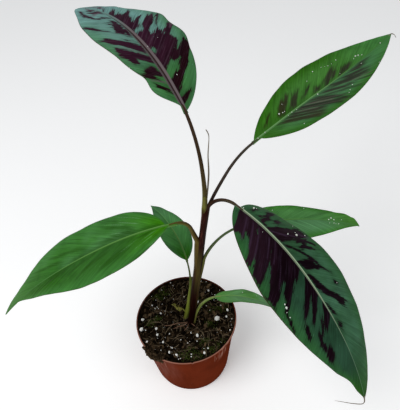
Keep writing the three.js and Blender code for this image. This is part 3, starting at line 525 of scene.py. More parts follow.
class PotSettings(bpy.types.PropertyGroup):
    """Sizes and colour of the nursery pot."""

    flute_height: FloatProperty(
        name="Flute height", description="How far a stacking flute stands out of the wall", default=1.0 * MM,
        unit="LENGTH", precision=5)
    flute_length: FloatProperty(
        name="Flute length", description="Length of a stacking flute down the wall", default=25 * MM,
        unit="LENGTH", precision=5)
    steps: IntProperty(
        name="Steps", description="Steps round the pot", default=360, min=60)
    plastic: FloatVectorProperty(
        name="Plastic", description="Colour of the pot's sheet", subtype="COLOR", size=4,
        default=paint(98, 39, 21))


class SoilSettings(bpy.types.PropertyGroup):
    """The potting mix: how much of everything lies on it, and its colours."""

    seed: IntProperty(
        name="Seed", description="Seed of the mix's random draw and of its noise", default=11, min=1)
    crumbs: IntProperty(name="Crumbs", description="Number of peat crumbs", default=1500, min=0)
    chips: IntProperty(name="Bark chips", description="Number of bark chips", default=90, min=0)
    fibres: IntProperty(name="Fibres", description="Number of loose fibres", default=300, min=0)
    grains: IntProperty(
        name="Fine grains", description="Number of fine perlite grains", default=150, min=0)
    moss: IntProperty(name="Moss leaves", description="Number of moss leaves", default=1700, min=0)
    peat: FloatVectorProperty(
        name="Peat", description="Colour of the moist peat", subtype="COLOR", size=4, default=paint(10, 7, 4))
    bark: FloatVectorProperty(
        name="Bark", description="Colour of the bark and coarse crumbs", subtype="COLOR", size=4,
        default=paint(82, 66, 48))
    straw: FloatVectorProperty(
        name="Fibre", description="Colour of the pale fibres", subtype="COLOR", size=4,
        default=paint(146, 128, 102))
    perlite: FloatVectorProperty(
        name="Perlite", description="Colour of the perlite", subtype="COLOR", size=4,
        default=paint(250, 250, 246))
    moss_green: FloatVectorProperty(
        name="Moss", description="Colour of the moss", subtype="COLOR", size=4, default=paint(76, 90, 38))


class StageSettings(bpy.types.PropertyGroup):
    """Camera, floor and lights of the studio."""

    camera_place: FloatVectorProperty(
        name="Camera place", description="Where the camera stands", subtype="TRANSLATION", size=3,
        default=(0.0260, -0.2888, 0.5329))
    camera_dip: FloatProperty(
        name="Camera dip", description="Angle that the camera looks down by", subtype="ANGLE",
        default=math.radians(44.93))
    camera_roll: FloatProperty(
        name="Camera roll", description="Turn of the camera about its view", subtype="ANGLE",
        default=math.radians(-5.64))
    lens: FloatProperty(
        name="Lens", description="Focal length for a 36 mm sensor, in millimetres", default=43.9)
    floor: FloatVectorProperty(
        name="Floor", description="Colour of the floor", subtype="COLOR", size=4,
        default=(0.95, 0.95, 0.95, 1.0))
    floor_glow: FloatProperty(
        name="Floor glow", description="Light that the floor gives off itself, to keep it near white",
        default=0.2)
    key_power: FloatProperty(
        name="Key power", description="Power of the large light above", default=10.5, unit="POWER")
    fill_power: FloatProperty(
        name="Fill power", description="Power of the light in front", default=1.5, unit="POWER")
    sky: FloatProperty(
        name="Sky", description="Strength of the even light from all round", default=0.45)


SETTINGS = {
    "banana_blades": BladeSettings, "banana_stem": StemSettings, "banana_pot": PotSettings,
    "banana_soil": SoilSettings, "banana_stage": StageSettings,
}


# Numbers and runs

def lerp(a, b, share):
    return a + (b - a) * share


def clamp(value, low=0.0, high=1.0):
    return max(low, min(high, value))


def ease(value, low, high):
    """Smooth step from 0 at low to 1 at high."""
    share = clamp((value - low) / (high - low))
    return share * share * (3 - 2 * share)


def between(knots, u):
    """Value at u between evenly spaced knots."""
    place = clamp(u) * (len(knots) - 1)
    index = min(int(place), len(knots) - 2)
    return lerp(knots[index], knots[index + 1], place - index)


def direction(heading, pitch):
    level = math.cos(math.radians(pitch))
    return Vector((level * math.cos(math.radians(heading)), level * math.sin(math.radians(heading)),
                   math.sin(math.radians(pitch))))


def on_circle(radius, angle):
    return radius * math.cos(angle), radius * math.sin(angle)


class Run:
    """Smooth line through evenly spaced points, with a place and a direction at each share of its length."""

    def __init__(self, points):
        self.points = points

    def at(self, u):
        place = clamp(u) * (len(self.points) - 1)
        index = min(int(place), len(self.points) - 2)
        return self.points[index].lerp(self.points[index + 1], place - index)

    def tangent(self, u):
        reach = 1 / (len(self.points) - 1)
        return (self.at(u + reach) - self.at(u - reach)).normalized()

    def frames(self, rings, side):
        """Places, directions and side vectors at even steps, with the side carried along without twist."""
        found = []
        for ring in range(rings + 1):
            u = ring / rings
            tangent = self.tangent(u)
            side = (side - tangent * side.dot(tangent)).normalized()
            found.append((self.at(u), tangent, side))
        return found


def arc_run(start, length, heading, pitch, steps=160):
    point = Vector(start)
    points = [point.copy()]
    for step in range(steps):
        u = (step + 0.5) / steps
        point += direction(between(heading, u), between(pitch, u)) * (length / steps)
        points.append(point.copy())
    return Run(points)


def spline_run(knots, steps=120):
    """Smooth run through given points."""
    knots = [Vector(knot) for knot in knots]
    points = []
    for step in range(steps + 1):
        place = step / steps * (len(knots) - 1)
        index = min(int(place), len(knots) - 2)
        share = place - index
        p1, p2 = knots[index], knots[index + 1]
        p0 = knots[index - 1] if index > 0 else p1 + (p1 - p2)
        p3 = knots[index + 2] if index + 2 < len(knots) else p2 + (p2 - p1)
        points.append(0.5 * (2 * p1 + (p2 - p0) * share + (2 * p0 - 5 * p1 + 4 * p2 - p3) * share ** 2
                             + (3 * p1 - p0 - 3 * p2 + p3) * share ** 3))
    return Run(points)


def stem_axis(height):
    """Middle of the false stem at a height."""
    foot = Vector(STEM_FOOT)
    slope = math.tan(math.radians(STEM_PITCH))
    return foot + Vector((1, 0, slope)) * ((height - foot.z) / slope)


def stem_radius(height):
    return between(STEM_RADIUS, (height - STEM_FOOT[2]) / STEM_RISE)


def petiole_run(leaf):
    petiole = leaf["petiole"]
    return arc_run(leaf["start"], petiole["length"], petiole["heading"], petiole["pitch"], 60)


# Meshes

def as_data(name, mesh):
    """Mesh datablock of a bmesh, which is freed."""
    data = bpy.data.meshes.new(name)
    mesh.to_mesh(data)
    mesh.free()
    return data


def in_scene(name, data):
    thing = bpy.data.objects.new(name, data)
    bpy.context.scene.collection.objects.link(thing)
    return thing


def mesh_piece(name, mesh, material, replaced=(), smooth=True):
    """Object of a finished bmesh in millimetres, on the frame's body, with its finish, hiding the parts it
    replaces.
    """
    bmesh.ops.transform(mesh, matrix=Matrix.Scale(MM, 4), verts=mesh.verts)
    for face in mesh.faces:
        face.smooth = smooth
    piece = in_scene(name, as_data(name, mesh))
    piece.data.materials.append(material)
    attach(piece, BODY)
    if replaced:
        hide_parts(*replaced)
    return piece


def shaft(mesh, sides, rings):
    """Adds a straight closed shaft of radius 1 and height 1, cut into rings, and returns its vertices."""
    before = len(mesh.verts)
    made = bmesh.ops.create_cone(mesh, cap_ends=True, segments=sides, radius1=1, radius2=1, depth=1,
                                 matrix=Matrix.Translation((0, 0, 0.5)))
    upright = {edge for vert in made["verts"] for edge in vert.link_edges
               if abs(edge.verts[0].co.z - edge.verts[1].co.z) > 0.5}
    bmesh.ops.subdivide_edges(mesh, edges=list(upright), cuts=rings - 1, use_grid_fill=True)
    mesh.verts.ensure_lookup_table()
    return mesh.verts[before:]


def bend_shaft(verts, rings, run, side, shape):
    """Lays a straight shaft along a run. shape(u, angle) gives the distance from the run's line, with the
    angle measured from the side vector."""
    frames = run.frames(rings, side)
    placed = []
    for vert in verts:
        u = clamp(vert.co.z)
        point, tangent, ahead = frames[round(u * rings)]
        across = tangent.cross(ahead)
        angle = math.atan2(vert.co.y, vert.co.x)
        spoke = ahead * math.cos(angle) + across * math.sin(angle)
        placed.append((vert, u, angle))
        vert.co = point + spoke * shape(u, angle)
    return placed


def stamp(mesh, template, matrix):
    """Adds a copy of a template mesh, placed by a matrix, and returns its vertices."""
    before = len(mesh.verts)
    mesh.from_mesh(template)
    mesh.verts.ensure_lookup_table()
    verts = mesh.verts[before:]
    bmesh.ops.transform(mesh, matrix=matrix, verts=verts)
    return verts


def tone_layer(mesh):
    """The layer with each lump's tone, from dark to pale."""
    return mesh.verts.layers.float.get("tone") or mesh.verts.layers.float.new("tone")


def section_chain(mesh, corners):
    """Chain of edges through the corners of a half section, each given as (radius, height)."""
    chain = [mesh.verts.new((radius, 0, height)) for radius, height in corners]
    return [mesh.edges.new(pair) for pair in zip(chain, chain[1:])]


def turn_section(mesh, steps):
    """Turns a half section about the pot's axis into a closed body."""
    bmesh.ops.spin(mesh, geom=mesh.verts[:] + mesh.edges[:], axis=(0, 0, 1), cent=(0, 0, 0),
                   angle=2 * math.pi, steps=steps, use_merge=True)
    bmesh.ops.remove_doubles(mesh, verts=mesh.verts, dist=0.01)
    bmesh.ops.recalc_face_normals(mesh, faces=mesh.faces)


def random_turn(draw):
    angles = draw.uniform(0, 3), draw.uniform(0, 3), draw.uniform(0, 3)
    return Euler(angles).to_matrix().to_4x4()


# Materials

class Finish:
    """Node tree of one procedural material."""

    def __init__(self, name, **shader):
        self.material = bpy.data.materials.new(name)
        self.material.use_nodes = True
        self.nodes = self.material.node_tree.nodes
        self.links = self.material.node_tree.links
        self.shader = self.nodes["Principled BSDF"]
        for socket, value in shader.items():
            self.shader.inputs[socket.replace("_", " ")].default_value = value

    def feed(self, socket, value):
        if isinstance(value, bpy.types.NodeSocket):
            self.links.new(value, socket)
        else:
            socket.default_value = value

    def put(self, kind, inputs, **settings):
        node = self.nodes.new(kind)
        for setting, value in settings.items():
            setattr(node, setting, value)
        for socket, value in inputs.items():
            self.feed(node.inputs[socket], value)
        return node

    def maths(self, operation, *values):
        return self.put("ShaderNodeMath", dict(enumerate(values)), operation=operation).outputs[0]

    def add(self, first, second):
        return self.maths("ADD", first, second)

    def less(self, first, second):
        return self.maths("SUBTRACT", first, second)

    def times(self, first, second):
        return self.maths("MULTIPLY", first, second)

    def blend(self, first, second, share):
        """The share of the first and the rest of the second."""
        return self.add(self.times(first, share), self.times(second, 1 - share))

    def number(self, attribute):
        return self.put("ShaderNodeAttribute", {}, attribute_name=attribute).outputs["Fac"]

    def vector(self, attribute):
        return self.put("ShaderNodeAttribute", {}, attribute_name=attribute).outputs["Vector"]

    def place(self):
        return self.put("ShaderNodeTexCoord", {}).outputs["Object"]

    def split(self, vector):
        return self.put("ShaderNodeSeparateXYZ", {0: vector}).outputs

    def join(self, x, y, z):
        return self.put("ShaderNodeCombineXYZ", {0: x, 1: y, 2: z}).outputs[0]

    def stretch(self, vector, scale):
        return self.put("ShaderNodeMapping", {"Vector": vector, "Scale": scale}).outputs[0]

    def noise(self, vector, scale, detail=2.0, rough=0.5):
        inputs = {"Vector": vector, "Scale": scale, "Detail": detail, "Roughness": rough}
        return self.put("ShaderNodeTexNoise", inputs).outputs["Fac"]

    def cells(self, vector, scale):
        return self.put("ShaderNodeTexVoronoi", {"Vector": vector, "Scale": scale}).outputs["Distance"]

    def range(self, value, low, high, to_low=0.0, to_high=1.0):
        inputs = {"Value": value, "From Min": low, "From Max": high, "To Min": to_low, "To Max": to_high}
        return self.put("ShaderNodeMapRange", inputs, interpolation_type="SMOOTHSTEP").outputs[0]

    def mix(self, share, first, second, blend="MIX"):
        node = self.put("ShaderNodeMix", {0: share, 6: first, 7: second}, data_type="RGBA", blend_type=blend)
        return node.outputs[2]

    def lay(self, body, colour, value, low, high, most=1.0):
        """A colour laid over the body as a value goes from low to high, up to the share 'most'."""
        return self.mix(self.range(value, low, high, 0.0, most), body, colour)

    def tint(self, body, factor, value, low, high, most=1.0):
        """The body made darker or paler by a factor as a value goes from low to high."""
        share = self.range(value, low, high, 0.0, most)
        return self.mix(share, body, (factor, factor, factor, 1.0), "MULTIPLY")

    def ramp(self, share, stops):
        node = self.put("ShaderNodeValToRGB", {0: share})
        marks = node.color_ramp.elements
        marks[0].position, marks[0].color = stops[0]
        marks[1].position, marks[1].color = stops[-1]
        for position, colour in stops[1:-1]:
            marks.new(position).color = colour
        return node.outputs[0]

    def relief(self, height, depth):
        """Bump of a height from 0 to 1, with the depth in millimetres."""
        node = self.put("ShaderNodeBump", {"Height": height, "Strength": 1.0, "Distance": depth * MM})
        self.feed(self.shader.inputs["Normal"], node.outputs[0])

    def done(self, colour, roughness):
        self.feed(self.shader.inputs["Base Color"], colour)
        self.feed(self.shader.inputs["Roughness"], roughness)
        return self.material


def shade(colour, factor):
    """The same colour, darker or paler by a factor."""
    return (*(clamp(channel * factor) for channel in colour[:3]), 1.0)


# Third noise coordinate of a blade's left half, and with a minus of its right half, so that they differ
HALVES_APART = 40.0


def blade_finish(name, margin_line, vein_spacing):
    """Satin leaf surface: drifting greens, side veins, marks along them, painted glints, the midrib and the
    underside.
    """
    look = BLADE_COLOURS[name]
    finish = Finish(f"blade {name}", Specular_IOR_Level=0.025)
    foot, distance, side = finish.split(finish.vector("vein"))
    along, across, under = finish.split(finish.vector("place"))
    rib_share = finish.number("rib")
    half = finish.times(side, HALVES_APART)

    def drawn_out(squeeze, scale, detail, rough):
        """Noise that is drawn out along the side veins and differs between the two halves."""
        return finish.noise(finish.join(foot, finish.times(distance, squeeze), half), scale, detail, rough)

    fine = drawn_out(0.06, 1.1, 3.0, 0.7)
    coarse = drawn_out(0.16, 0.22, 2.0, 0.6)
    painted_glint = drawn_out(0.4, 0.55, 2.0, 0.6)
    drift = finish.noise(finish.place(), 26.0, 3.0)
    patch = finish.noise(finish.place(), 55.0, 3.0, 0.6)

    base_from, base_to, tip_from, tip_to = look["turns"]
    other_side, other = look["other"]
    body = finish.lay(look["green"], look["second"], drift, 0.36, 0.64)
    body = finish.lay(body, other, side, 0.0, other_side, 0.75)
    body = finish.lay(body, look["base"], along, base_to, base_from)
    body = finish.lay(body, look["margin"], across, 0.5, 1.0, 0.85)
    body = finish.lay(body, look["tip"], along, tip_from, tip_to, 0.95)
    body = finish.tint(body, 0.6, patch, 0.5, 0.32, 0.45)
    body = finish.tint(body, 0.62, distance, 11.0, 0.5, 0.34)
    body = finish.tint(body, 0.45, fine, 0.5, 0.26, look["grain"])
    body = finish.tint(body, 1.6, fine, 0.54, 0.78, look["grain"])
    body = finish.tint(body, 1.4, coarse, 0.52, 0.72, 0.4)
    body = finish.tint(body, 0.62, coarse, 0.48, 0.3, 0.5)
    # Painted highlights: small pale flecks along the side veins.
    body = finish.lay(body, shade(look["second"], 1.6), painted_glint, 0.66, 0.8, 0.5)

    phase = finish.maths("FRACT", finish.maths("DIVIDE", foot, vein_spacing))
    off_vein = finish.maths("ABSOLUTE", finish.less(phase, 0.5))
    body = finish.tint(body, 1.6, off_vein, 0.06, 0.015, 0.3)

    if "streak" in look:
        jag = finish.less(drawn_out(0.11, 0.85, 5.0, 0.7), 0.5)
        wander = finish.less(finish.noise(finish.join(foot, distance, half), 0.2), 0.5)
        depth = finish.add(finish.number("streak"), finish.times(jag, look["ragged"]))
        depth = finish.add(depth, finish.times(wander, 2.6))
        body = finish.tint(body, 0.4, depth, -2.4, 0.2, 0.4 * look["depth"])
        rich = finish.lay(look["streak"], look["far_streak"], foot, 18.0, 52.0)
        rich = finish.tint(rich, 0.5, coarse, 0.4, 0.66, 0.75)
        rich = finish.lay(rich, look["haze"], fine, 0.5, 0.78, 0.4)
        body = finish.lay(body, rich, depth, -look["fade"], look["fade"], look["depth"])
        grey = finish.add(finish.number("grey"), finish.times(jag, 2.0))
        body = finish.lay(body, look["haze"], grey, -0.6, 0.8, 0.5)

    rib = finish.lay(look["rib"], look["rib_line"], rib_share, 0.42, 0.2)
    rib = finish.lay(rib, shade(look["second"], 0.8), along, 0.42, 0.8, 0.75)
    body = finish.lay(body, rib, rib_share, 1.25, 0.85)
    body = finish.lay(body, margin_line, across, 0.975, 0.998, 0.65)
    below = finish.lay(look["under"], shade(look["under"], 0.78), fine, 0.3, 0.7)
    below = finish.lay(below, shade(look["rib"], 1.1), rib_share, 1.3, 0.9)
    body = finish.lay(body, below, under, 0.4, 0.6)

    finish.relief(finish.blend(fine, coarse, 0.6), 0.24)
    return finish.done(body, finish.range(fine, 0.2, 0.8, 0.36, 0.5))


def stalk_colours(name):
    """Places and colours along a leaf's stalk, and the colour of its groove."""
    colours = STALK_COLOURS[name]
    return [(place, paint(*colour)) for place, *colour in colours["face"]], paint(*colours["groove"])


def stalk_finish(name, stops, groove):
    """Waxy stalk with long streaks. Colours follow the distance from where the leaf leaves the stem."""
    finish = Finish(f"stalk {name}", Specular_IOR_Level=0.04)
    low, high = stops[0][0], stops[-1][0]
    share = finish.maths("DIVIDE", finish.less(finish.number("along"), low), high - low)
    grain = finish.noise(finish.vector("grain"), 1.6, 4.0, 0.6)
    fleck = finish.noise(finish.vector("grain"), 5.0, 2.0, 0.7)
    body = finish.ramp(share, [((place - low) / (high - low), colour) for place, colour in stops])
    body = finish.lay(body, groove, finish.number("upper"), 0.55, 0.95, 0.7)
    body = finish.lay(body, shade(stops[0][1], 0.6), grain, 0.42, 0.72, 0.6)
    body = finish.lay(body, shade(groove, 1.5), fleck, 0.6, 0.78, 0.35)
    finish.relief(grain, 0.12)
    return finish.done(body, finish.range(grain, 0.3, 0.7, 0.34, 0.5))


def stem_finish(settings):
    """Dark waxy sheaths: maroon at the foot, olive brown in the middle, streaked maroon below the fork."""
    finish = Finish("false stem", Specular_IOR_Level=0.03)
    height = finish.maths("DIVIDE", finish.number("along"), 190.0)
    dark, brown = tuple(settings.dark), tuple(settings.brown)
    stops = ((0.0, dark, 0.5), (0.2, dark, 0.6), (0.36, dark, 0.8), (0.44, brown, 0.45), (0.54, brown, 1.0),
             (0.66, brown, 0.7), (0.74, dark, 1.3), (1.0, dark, 1.7))
    body = finish.ramp(height, [(place, shade(colour, factor)) for place, colour, factor in stops])
    grain = finish.noise(finish.vector("grain"), 1.1, 4.0, 0.6)
    upper = finish.range(height, 0.6, 0.85, 0.25, 0.8)
    body = finish.mix(finish.times(finish.range(grain, 0.52, 0.7), upper), body, tuple(settings.streak))
    body = finish.lay(body, shade(dark, 0.6), grain, 0.45, 0.25, 0.6)
    finish.relief(grain, 0.15)
    return finish.done(body, finish.range(grain, 0.3, 0.7, 0.36, 0.52))


def pot_finish(settings):
    """Thin moulded plastic: brown terracotta with flow lines, a painted sheen on its left, pale streaks,
    dust, painted highlights along its edges and painted shade towards its back.
    """
    finish = Finish("pot plastic", Specular_IOR_Level=0.0)
    place = finish.place()
    to_left, to_back, up = finish.split(place)
    plastic = tuple(settings.plastic)
    cloud = finish.noise(place, 30.0, 3.0, 0.6)
    flow = finish.noise(finish.stretch(place, (1, 1, 0.12)), 240.0)
    dust = finish.noise(place, 700.0, 2.0, 0.7)
    body = finish.lay(shade(plastic, 0.84), shade(plastic, 1.14), cloud, 0.3, 0.7)
    body = finish.lay(body, shade(plastic, 1.4), flow, 0.5, 0.75, 0.3)

    # Painted sheen: a pale pinkish glow on the left of the wall, stronger higher up.
    painted_sheen = finish.times(finish.range(to_left, -0.004, -0.04), finish.range(up, 0.01, 0.06, 0.3, 1.0))
    painted_sheen = finish.times(painted_sheen, finish.range(flow, 0.3, 0.7, 0.12, 0.34))
    body = finish.mix(painted_sheen, body, paint(158, 124, 116))
    # Paler streaks on the upper front of the wall, right of its middle.
    pale_streaks = finish.times(finish.range(to_left, 0.014, 0.032), finish.range(up, 0.05, 0.066))
    pale_streaks = finish.times(pale_streaks, finish.range(flow, 0.5, 0.62, 0.0, 0.5))
    pale_streaks = finish.times(pale_streaks, finish.range(to_back, 0.0, -0.02))
    body = finish.mix(pale_streaks, body, paint(176, 132, 116))
    body = finish.lay(body, paint(150, 112, 92), dust, 0.68, 0.82, 0.3)

    # Painted highlight on the lip, the flute crests, the foot's step and the nub, strongest at the front.
    edge_highlight = finish.range(finish.number("edge"), 0.2, 1.0, 0.0, 0.44)
    in_front = finish.range(to_back, 0.012, -0.03, 0.12, 1.0)
    body = finish.mix(finish.times(edge_highlight, in_front), body, paint(188, 138, 118))
    # Painted shade: the whole pot darker towards its back.
    body = finish.tint(body, 0.5, to_back, 0.0, 0.04, 0.7)
    finish.relief(finish.blend(cloud, dust, 0.7), 0.12)
    return finish.done(body, finish.range(cloud, 0.3, 0.7, 0.3, 0.42))


def mix_finish(name, dark, pale, share):
    """Rough matter of the potting mix. Each lump's own tone has this share in going from dark to pale."""
    finish = Finish(name, Specular_IOR_Level=0.0)
    place = finish.place()
    speckle = finish.noise(place, 900.0, 3.0, 0.7)
    patch = finish.range(finish.noise(place, 110.0), 0.42, 0.75)
    body = finish.mix(finish.blend(finish.number("tone"), patch, share), dark, pale)
    body = finish.lay(body, shade(dark, 0.5), speckle, 0.45, 0.75, 0.6)
    finish.relief(speckle, 0.3)
    return finish.done(body, 0.9)


def perlite_finish(name, colour):
    """Chalky white foam glass with small pits and peat stains."""
    finish = Finish(name, Specular_IOR_Level=0.3)
    place = finish.place()
    pits = finish.cells(place, 1900.0)
    stain = finish.noise(place, 320.0)
    # Painted shade: the pits darker towards their middles.
    body = finish.lay(colour, shade(colour, 0.62), pits, 0.45, 0.1, 0.4)
    body = finish.lay(body, paint(170, 158, 136), stain, 0.58, 0.8, 0.5)
    finish.relief(pits, 0.35)
    return finish.done(body, 0.8)


def dried_finish(colour):
    """Dry papery tissue with lengthwise fibres."""
    finish = Finish("dried tissue", Specular_IOR_Level=0.2)
    grain = finish.noise(finish.vector("grain"), 2.4, 3.0, 0.7)
    finish.relief(grain, 0.1)
    return finish.done(finish.lay(shade(colour, 0.7), shade(colour, 1.3), grain, 0.35, 0.65), 0.8)


def floor_finish(colour, glow):
    finish = Finish("studio floor", Specular_IOR_Level=0.2, Emission_Color=colour, Emission_Strength=glow)
    cloud = finish.noise(finish.place(), 3.0)
    return finish.done(finish.mix(cloud, colour, shade(colour, 0.99)), 0.75)


# Blades. Each half of a blade has RIB_COLUMNS columns of faces over its midrib, and the rest reach to its
# margin. The midrib's channel and the banks beside it are given in its half widths. How fast the banks fall,
# the waves near the margin, the broad swells and the depth that counts as deep in a mark are in millimetres.
# A blade with marks has a finer mesh.
RIB_COLUMNS = 4
RIB_CHANNEL = 0.4
RIB_BANK = 0.2
BANK_FALL = 0.7
WAVE_HEIGHT = 0.3
SWELL_HEIGHT = 0.55
DEEP = 6.0
FINER_ROWS, FINER_COLUMNS = 1.7, 1.3


def half_name(sign):
    return "left" if sign > 0 else "right"


def lobe(at, reach, out, u):
    fall = max(0.0, 1 - ((u - at) / reach) ** 2)
    return out * fall * fall


def half_width(half, u):
    """Distance from a blade's middle line to the margin of one half."""
    t = clamp((u - half["from"]) / (1 - half["from"]))
    widest = half["swell"] / (half["swell"] + half["taper"])
    plain = half["width"] / 2 * (t / widest) ** half["swell"] * ((1 - t) / (1 - widest)) ** half["taper"]
    return plain + sum(lobe(*one, u) for one in half.get("lobes", ()))


class Blade:
    """Where a blade lies: its middle line's run, the outline of its two halves and their lift."""

    LEAST_HALF_WIDTH = 0.6

    def __init__(self, leaf):
        self.leaf = leaf
        blade = leaf["blade"]
        stalk_end = petiole_run(leaf).points[-1]
        self.run = arc_run(stalk_end, blade["length"], blade["heading"], blade["pitch"])
        self.length = blade["length"]
        self.blunt, self.end = leaf.get("tip", (1.0, 1.0))
        self.rib_radius = leaf["petiole"]["radius"][-1]
        self.cup = math.radians(blade["cup"])

    def frame(self, u):
        """Middle point, side vector to the left and upper normal at a share of the length."""
        blade = self.leaf["blade"]
        tangent = direction(between(blade["heading"], u), between(blade["pitch"], u))
        level = Vector((0, 0, 1)).cross(tangent).normalized()
        over = tangent.cross(level)
        roll = math.radians(between(blade["roll"], u))
        return (self.run.at(u), level * math.cos(roll) + over * math.sin(roll),
                over * math.cos(roll) - level * math.sin(roll))

    def shift(self, u):
        """How far the midrib runs to the left of the middle line."""
        return between(self.leaf["rib_shift"], u)

    def width(self, sign, u):
        """Distance from the midrib to the margin on one side, +1 for the left."""
        half = self.leaf[half_name(sign)]
        least = self.LEAST_HALF_WIDTH + (1 - u) ** 8 * self.rib_radius
        outline = half_width(half, u)
        if u > self.blunt:
            outline *= math.sqrt(1 - clamp((u - self.blunt) / (self.end - self.blunt)) ** 2)
        return max(outline - sign * self.shift(u), least)

    def rib_half_width(self, u):
        return between(self.leaf["rib"], u)

    def point(self, u, sign, distance, lift=0.0):
        """Place on the blade at a distance from its midrib, raised by a lift."""
        middle, side, normal = self.frame(u)
        width = self.width(sign, u)
        v = distance / width
        height, waves = self.leaf["ripple"]
        ripple = height * v * v * math.sin(math.pi * u) * math.sin(2 * math.pi * waves * u + sign)
        sag = self.leaf[half_name(sign)]["droop"] * width * v * v
        rise = distance * math.sin(self.cup) - sag + ripple + lift
        across = sign * distance * math.cos(self.cup) + self.shift(u)
        return middle + side * across + normal * rise

    def vein_foot(self, u, distance):
        """Place on the midrib, in mm, where the side vein through a point starts."""
        along = u * self.length
        foot = along
        for _ in range(8):
            angle = math.radians(between(self.leaf["veins"], foot / self.length))
            foot = 0.5 * foot + 0.5 * (along - distance / math.tan(angle))
        return foot


def depth_in(mark, foot, out):
    """How far inside a mark a point lies, in mm."""
    foot_a, out_a, foot_b, out_b, half_a, half_b = mark
    run = Vector((foot_b - foot_a, out_b - out_a))
    arm = Vector((foot - foot_a, out - out_a))
    length = run.length
    reached = arm.dot(run) / length
    aside = abs(arm.x * run.y - arm.y * run.x) / length
    half = lerp(half_a, half_b, clamp(reached / length))
    return min(half - aside, 0.6 * min(reached, length - reached) + 0.6)


def deepest(name, sign, kind, foot, out):
    """Depth inside the nearest mark of a kind on one half of a blade, below 0 outside them all."""
    marks = MARKS.get((name, half_name(sign), kind), ())
    depth = max((depth_in(mark, foot, out) for mark in marks), default=-DEEP)
    return clamp(depth, -DEEP, DEEP)


def vein_gap(leaf, settings):
    """Distance between the main side veins in mm, closer on a small leaf."""
    return settings.vein_spacing / MM * (0.6 if leaf["blade"]["length"] < 100 else 1.0)


def blade_mesh(name, settings):
    """A flat slab in (across, along) is bent onto the leaf, with its midrib, veins and margins shaped."""
    blade = Blade(LEAVES[name])
    share = clamp(blade.length / 180, 0.45, 1.0)
    marked = "streak" in BLADE_COLOURS[name]
    columns = 2 * round(settings.columns * math.sqrt(share) * (FINER_COLUMNS if marked else 1.0))
    rows = round(settings.rows * share * (FINER_ROWS if marked else 1.0))
    spacing = vein_gap(blade.leaf, settings)
    relief = settings.vein_relief / MM * math.sqrt(share)
    middle, margin = settings.middle_thickness / MM, settings.margin_thickness / MM

    mesh = bmesh.new()
    bmesh.ops.create_grid(mesh, x_segments=columns, y_segments=rows, size=1)
    slab = bmesh.ops.extrude_face_region(mesh, geom=mesh.faces[:])["geom"]
    lower = [item for item in slab if isinstance(item, bmesh.types.BMVert)]
    bmesh.ops.translate(mesh, verts=lower, vec=(0, 0, -1))
    bmesh.ops.recalc_face_normals(mesh, faces=mesh.faces)
    vein = mesh.verts.layers.float_vector.new("vein")
    place = mesh.verts.layers.float_vector.new("place")
    rib = mesh.verts.layers.float.new("rib")
    if marked:
        streak = mesh.verts.layers.float.new("streak")
        grey = mesh.verts.layers.float.new("grey")
    half_columns = columns // 2
    for vert in mesh.verts:
        u = blade.end * clamp((vert.co.y + 1) / 2)
        sign = -1 if vert.co.x < 0 else 1
        column = round(abs(vert.co.x) * half_columns)
        under = vert.co.z < -0.5
        width = blade.width(sign, u)
        rib_half = min(blade.rib_half_width(u), 0.55 * width)
        if column <= RIB_COLUMNS:
            distance = rib_half * column / RIB_COLUMNS
        else:
            distance = lerp(rib_half, width, (column - RIB_COLUMNS) / (half_columns - RIB_COLUMNS))
        v = distance / width
        edge_wave = noise.noise(Vector((u * 15, 3.0 * sign, blade.length)))
        distance += 0.005 * width * v ** 3 * edge_wave
        out = distance + sign * blade.shift(u)
        foot = blade.vein_foot(u, out)
        beyond = distance - rib_half
        if beyond <= 0:
            lift = RIB_CHANNEL * rib_half * ((distance / rib_half) ** 2 - 0.5)
        else:
            lift = RIB_BANK * rib_half * math.exp(-beyond / BANK_FALL)
        pillow = abs(math.sin(math.pi * (foot / spacing + 0.5))) ** 0.55 - 1
        fade = ease(beyond, 0.3, 4.0) * (1 - v ** 5) * ease(1 - u, 0.0, 0.12)
        lift += relief * pillow * fade
        lift += WAVE_HEIGHT * share * v ** 4 * edge_wave
        swell = noise.noise(Vector((foot * 0.07, sign * 5.0, blade.length)))
        lift += SWELL_HEIGHT * share * ease(beyond, 2.0, 12.0) * swell
        if under:
            lift -= lerp(middle, margin, v)
            if beyond < 0:
                keel = lerp(2 * blade.rib_radius - middle, 0.3, u ** 0.7)
                lift -= keel * math.sqrt(1 - (distance / rib_half) ** 2)
        vert[vein] = (foot, out, sign if column else 0)
        vert[place] = (u, v, float(under))
        vert[rib] = min(distance / rib_half, 3.0)
        if marked:
            covered = deepest(name, sign, "dark", foot, out)
            vert[streak] = min(covered, -deepest(name, sign, "clear", foot, out))
            vert[grey] = deepest(name, sign, "grey", foot, out)
        vert.co = blade.point(u, sign, distance, lift + middle / 2)
    return mesh


# Stalks, sheaths and threads. A petiole runs on into its blade's midrib for the overlap and sinks into it
# there. One without a sheath starts a little below its leaf's start, in the soil. A sheath's mouth reaches
# past the place where its petiole comes free.
RIB_OVERLAP = 7.0
RIB_SINK = 0.35
BURIED_FOOT = 5
MOUTH = 1.5


def marked_mesh():
    """Empty bmesh whose vertices can hold their place along and round a shaft."""
    mesh = bmesh.new()
    mesh.verts.layers.float.new("along")
    mesh.verts.layers.float.new("upper")
    mesh.verts.layers.float_vector.new("grain")
    return mesh


def mark_shaft(mesh, placed, low, high):
    """Writes each vertex's place along and round a shaft, from low to high millimetres."""
    along, upper = mesh.verts.layers.float["along"], mesh.verts.layers.float["upper"]
    grain = mesh.verts.layers.float_vector["grain"]
    for vert, u, angle in placed:
        reached = lerp(low, high, u)
        vert[along] = reached
        vert[upper] = 0.5 + 0.5 * math.cos(angle)
        vert[grain] = (1.5 * math.cos(angle), 1.5 * math.sin(angle), 0.035 * reached)


def grooved(radius, angle, depth):
    """Round section with a rounded channel on its upper side, between two low banks."""
    channel = depth * math.exp(-((angle / 0.55) ** 2))
    banks = 0.06 * math.exp(-(((abs(angle) - 0.95) / 0.4) ** 2))
    return radius * (1 - channel + banks)


